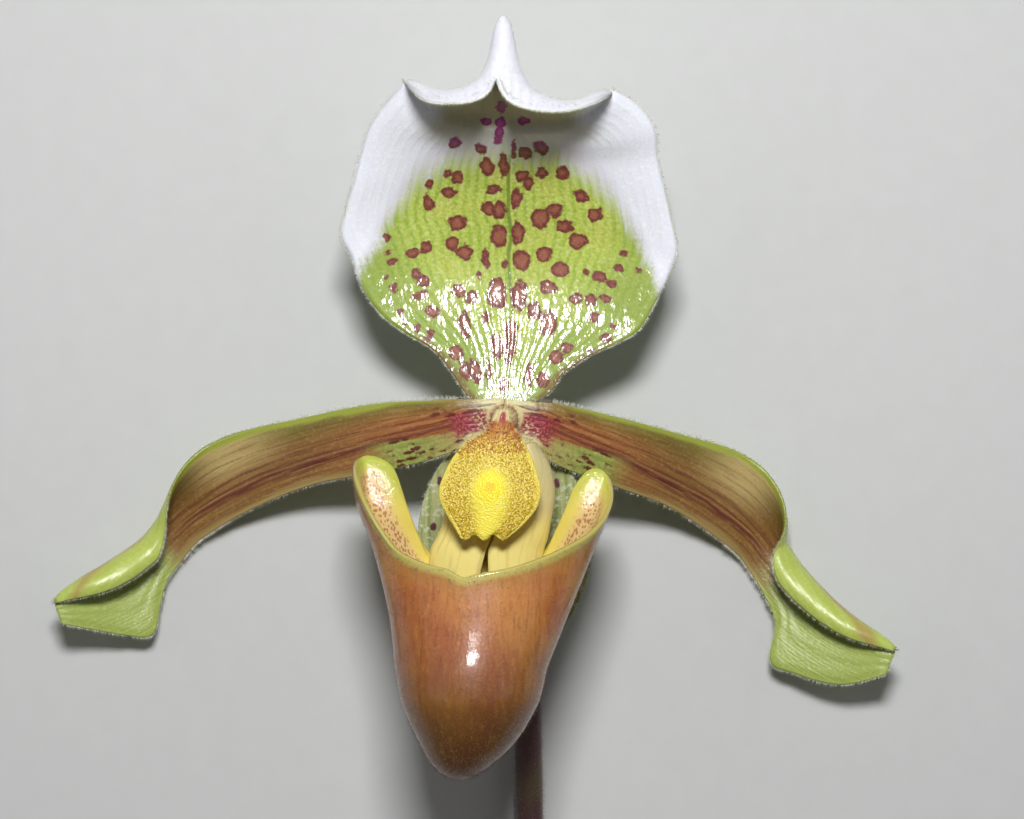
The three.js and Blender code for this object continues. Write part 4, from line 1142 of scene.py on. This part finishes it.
# A thin green sheath with close parallel veins and small purple dots near its base
def bractMaterial():
    material, tree = blank("sheathBract")
    here, lie, _, along, _ = coordinates(tree)
    threads = add(tree, "TexNoise", add(tree, "VectorMath", lie, (2.2, 0.15, 0)), 1, 3)
    dots = add(tree, "TexVoronoi", here, 1000)
    flesh = paint(
        tree, "#8fa552", ("#627c2c", (threads, 0.42, 0.62)),
        ("#4f2733", (dots, 0.3, 0.22), (along, 16, 4)))
    return tissue(material, flesh, 0.45, [(threads, 0.5, 0.3)], coat=0.2, translucent=0.1)


# The cut end shows wet pale pith
def cutMaterial():
    material, tree = blank("cutPith")
    grain = add(tree, "TexNoise", add(tree, "TexCoord").outputs["Object"], 2600, 3)
    return tissue(material, paint(tree, "#b9bd7c", ("#dbdcae", grain)), 0.35, [(grain, 0.5, 0.2)],
                  coat=0.4)


def stalkHairs(pathAt, radiusAt, count, low, high):
    roots = []
    for i in range(count):
        t, angle = random.uniform(0.01, 0.99), random.uniform(-math.pi, math.pi)
        tangent = (pathAt(min(t + 0.01, 1)) - pathAt(max(t - 0.01, 0))).normalized()
        right = (Vector((1, 0, 0)) - tangent * tangent.x).normalized()
        outward = right * math.sin(angle) + tangent.cross(right) * math.cos(angle)
        root = pathAt(t) + outward * radiusAt(t, angle) * 0.97
        length = random.uniform(low, high)
        if (root + outward * length).z > stalks["surface"]:
            roots.append((root, outward + wander(0.15), length, stalks["hairWidth"]))
    return roots


def makeStalks():
    ovarySkin = stalkMaterial("hairyOvary", "#4c3a2c", "#7a7440", "#8f9a4e")
    stemSkin = stalkMaterial("hairyStem", "#3b2027", "#5e3a3c", "#5d5234")
    ovary = tube(ovaryPath, ovaryRadius, 48, 90)
    keep(ovary, "ovary", [ovarySkin], "ovary")
    stemPath = curve([ovaryPath(0) - Vector((0, stalks["gap"], 0)), stalks["stemMiddle"], stemEnd])
    stem = tube(stemPath, stemRadius, 36, 130)
    stem.faces.ensure_lookup_table()
    cut = min(stem.faces, key=lambda face: face.calc_center_median().y)
    cut.material_index = 1
    bmesh.ops.inset_region(stem, faces=[cut], thickness=stalks["cutRim"] * 0.001,
                           depth=-stalks["cutDepth"] * 0.001)
    keep(stem, "stem", [stemSkin, cutMaterial()], "stem")
    wide, long = stalks["bractSize"]
    marks = lambda u, v, point: ((u * wide, v * long, (1 - abs(u)) * wide), 0, 0)
    bract = blade(sheathPoint, 60, 90, (0, 0, -1), marks)
    keep(bract, "bract", [bractMaterial()], "bract", stalks["bractThickness"])
    ovaryRoots = stalkHairs(ovaryPath, ovaryRadius, *stalks["ovaryHairs"])
    hairs("ovaryHairs", ovaryRoots, paleHair)
    stemRoots = stalkHairs(stemPath, stemRadius, *stalks["stemHairs"])
    hairs("stemHairs", stemRoots, hairMaterial("purpleHair", "#6b4a4c", "#a98a86"))
    print("ovary, bract and stem made")


makeStalks()

studio = {
    "floorSize": 3.0, "eye": (1.08, -1.14, 300), "lens": 87.9,
    # lights: name, place in mm from the flower, width and height in mm, power in watts
    "lights": [
        ("keyLight", (2, 142, 320), 84, 52, 1.3),
        ("leftFill", (-320, 40, 260), 260, 260, 0.1),
        ("rightFill", (320, 40, 260), 260, 260, 0.1),
    ],
    "world": 0.08,
}


# Matte paper, very slightly uneven in tone
def paperMaterial():
    material, tree = blank("matteStudioPaper")
    grain = add(tree, "TexNoise", add(tree, "TexCoord").outputs["Object"], 300)
    tone = paint(tree, "#c6c7c6", ("#cbcccb", grain))
    add(tree, "OutputMaterial", surface=add(tree, "BsdfPrincipled", baseColor=tone, roughness=0.9))
    return material


def makeStudio():
    bm = bmesh.new()
    bmesh.ops.create_grid(bm, x_segments=2, y_segments=2, size=studio["floorSize"] / 2)
    mesh = bpy.data.meshes.new("floor")
    bm.to_mesh(mesh)
    bm.free()
    floor = bpy.data.objects.new("floor", mesh)
    scene.collection.objects.link(floor)
    mesh.materials.append(paperMaterial())

    eye = bpy.data.objects.new("camera", bpy.data.cameras.new("camera"))
    eye.data.lens = studio["lens"]
    eye.data.sensor_width = 36
    eye.data.clip_start = 0.01
    eye.location = place(studio["eye"])
    scene.collection.objects.link(eye)
    scene.camera = eye
    for name, at, width, height, power in studio["lights"]:
        light = bpy.data.lights.new(name, "AREA")
        light.shape = "RECTANGLE"
        light.size, light.size_y = width * 0.001, height * 0.001
        light.energy = power
        lamp = bpy.data.objects.new(name, light)
        lamp.location = place(at)
        lamp.rotation_euler = (place((0, -4, 0)) - lamp.location).to_track_quat("-Z", "Y").to_euler()
        scene.collection.objects.link(lamp)
    world = bpy.data.worlds.new("studioAir")
    world.use_nodes = True
    air = world.node_tree.nodes["Background"]
    air.inputs["Color"].default_value = (1, 1, 1, 1)
    air.inputs["Strength"].default_value = studio["world"]
    scene.world = world
    scene.view_settings.view_transform = "Standard"
    print("studio made")


makeStudio()
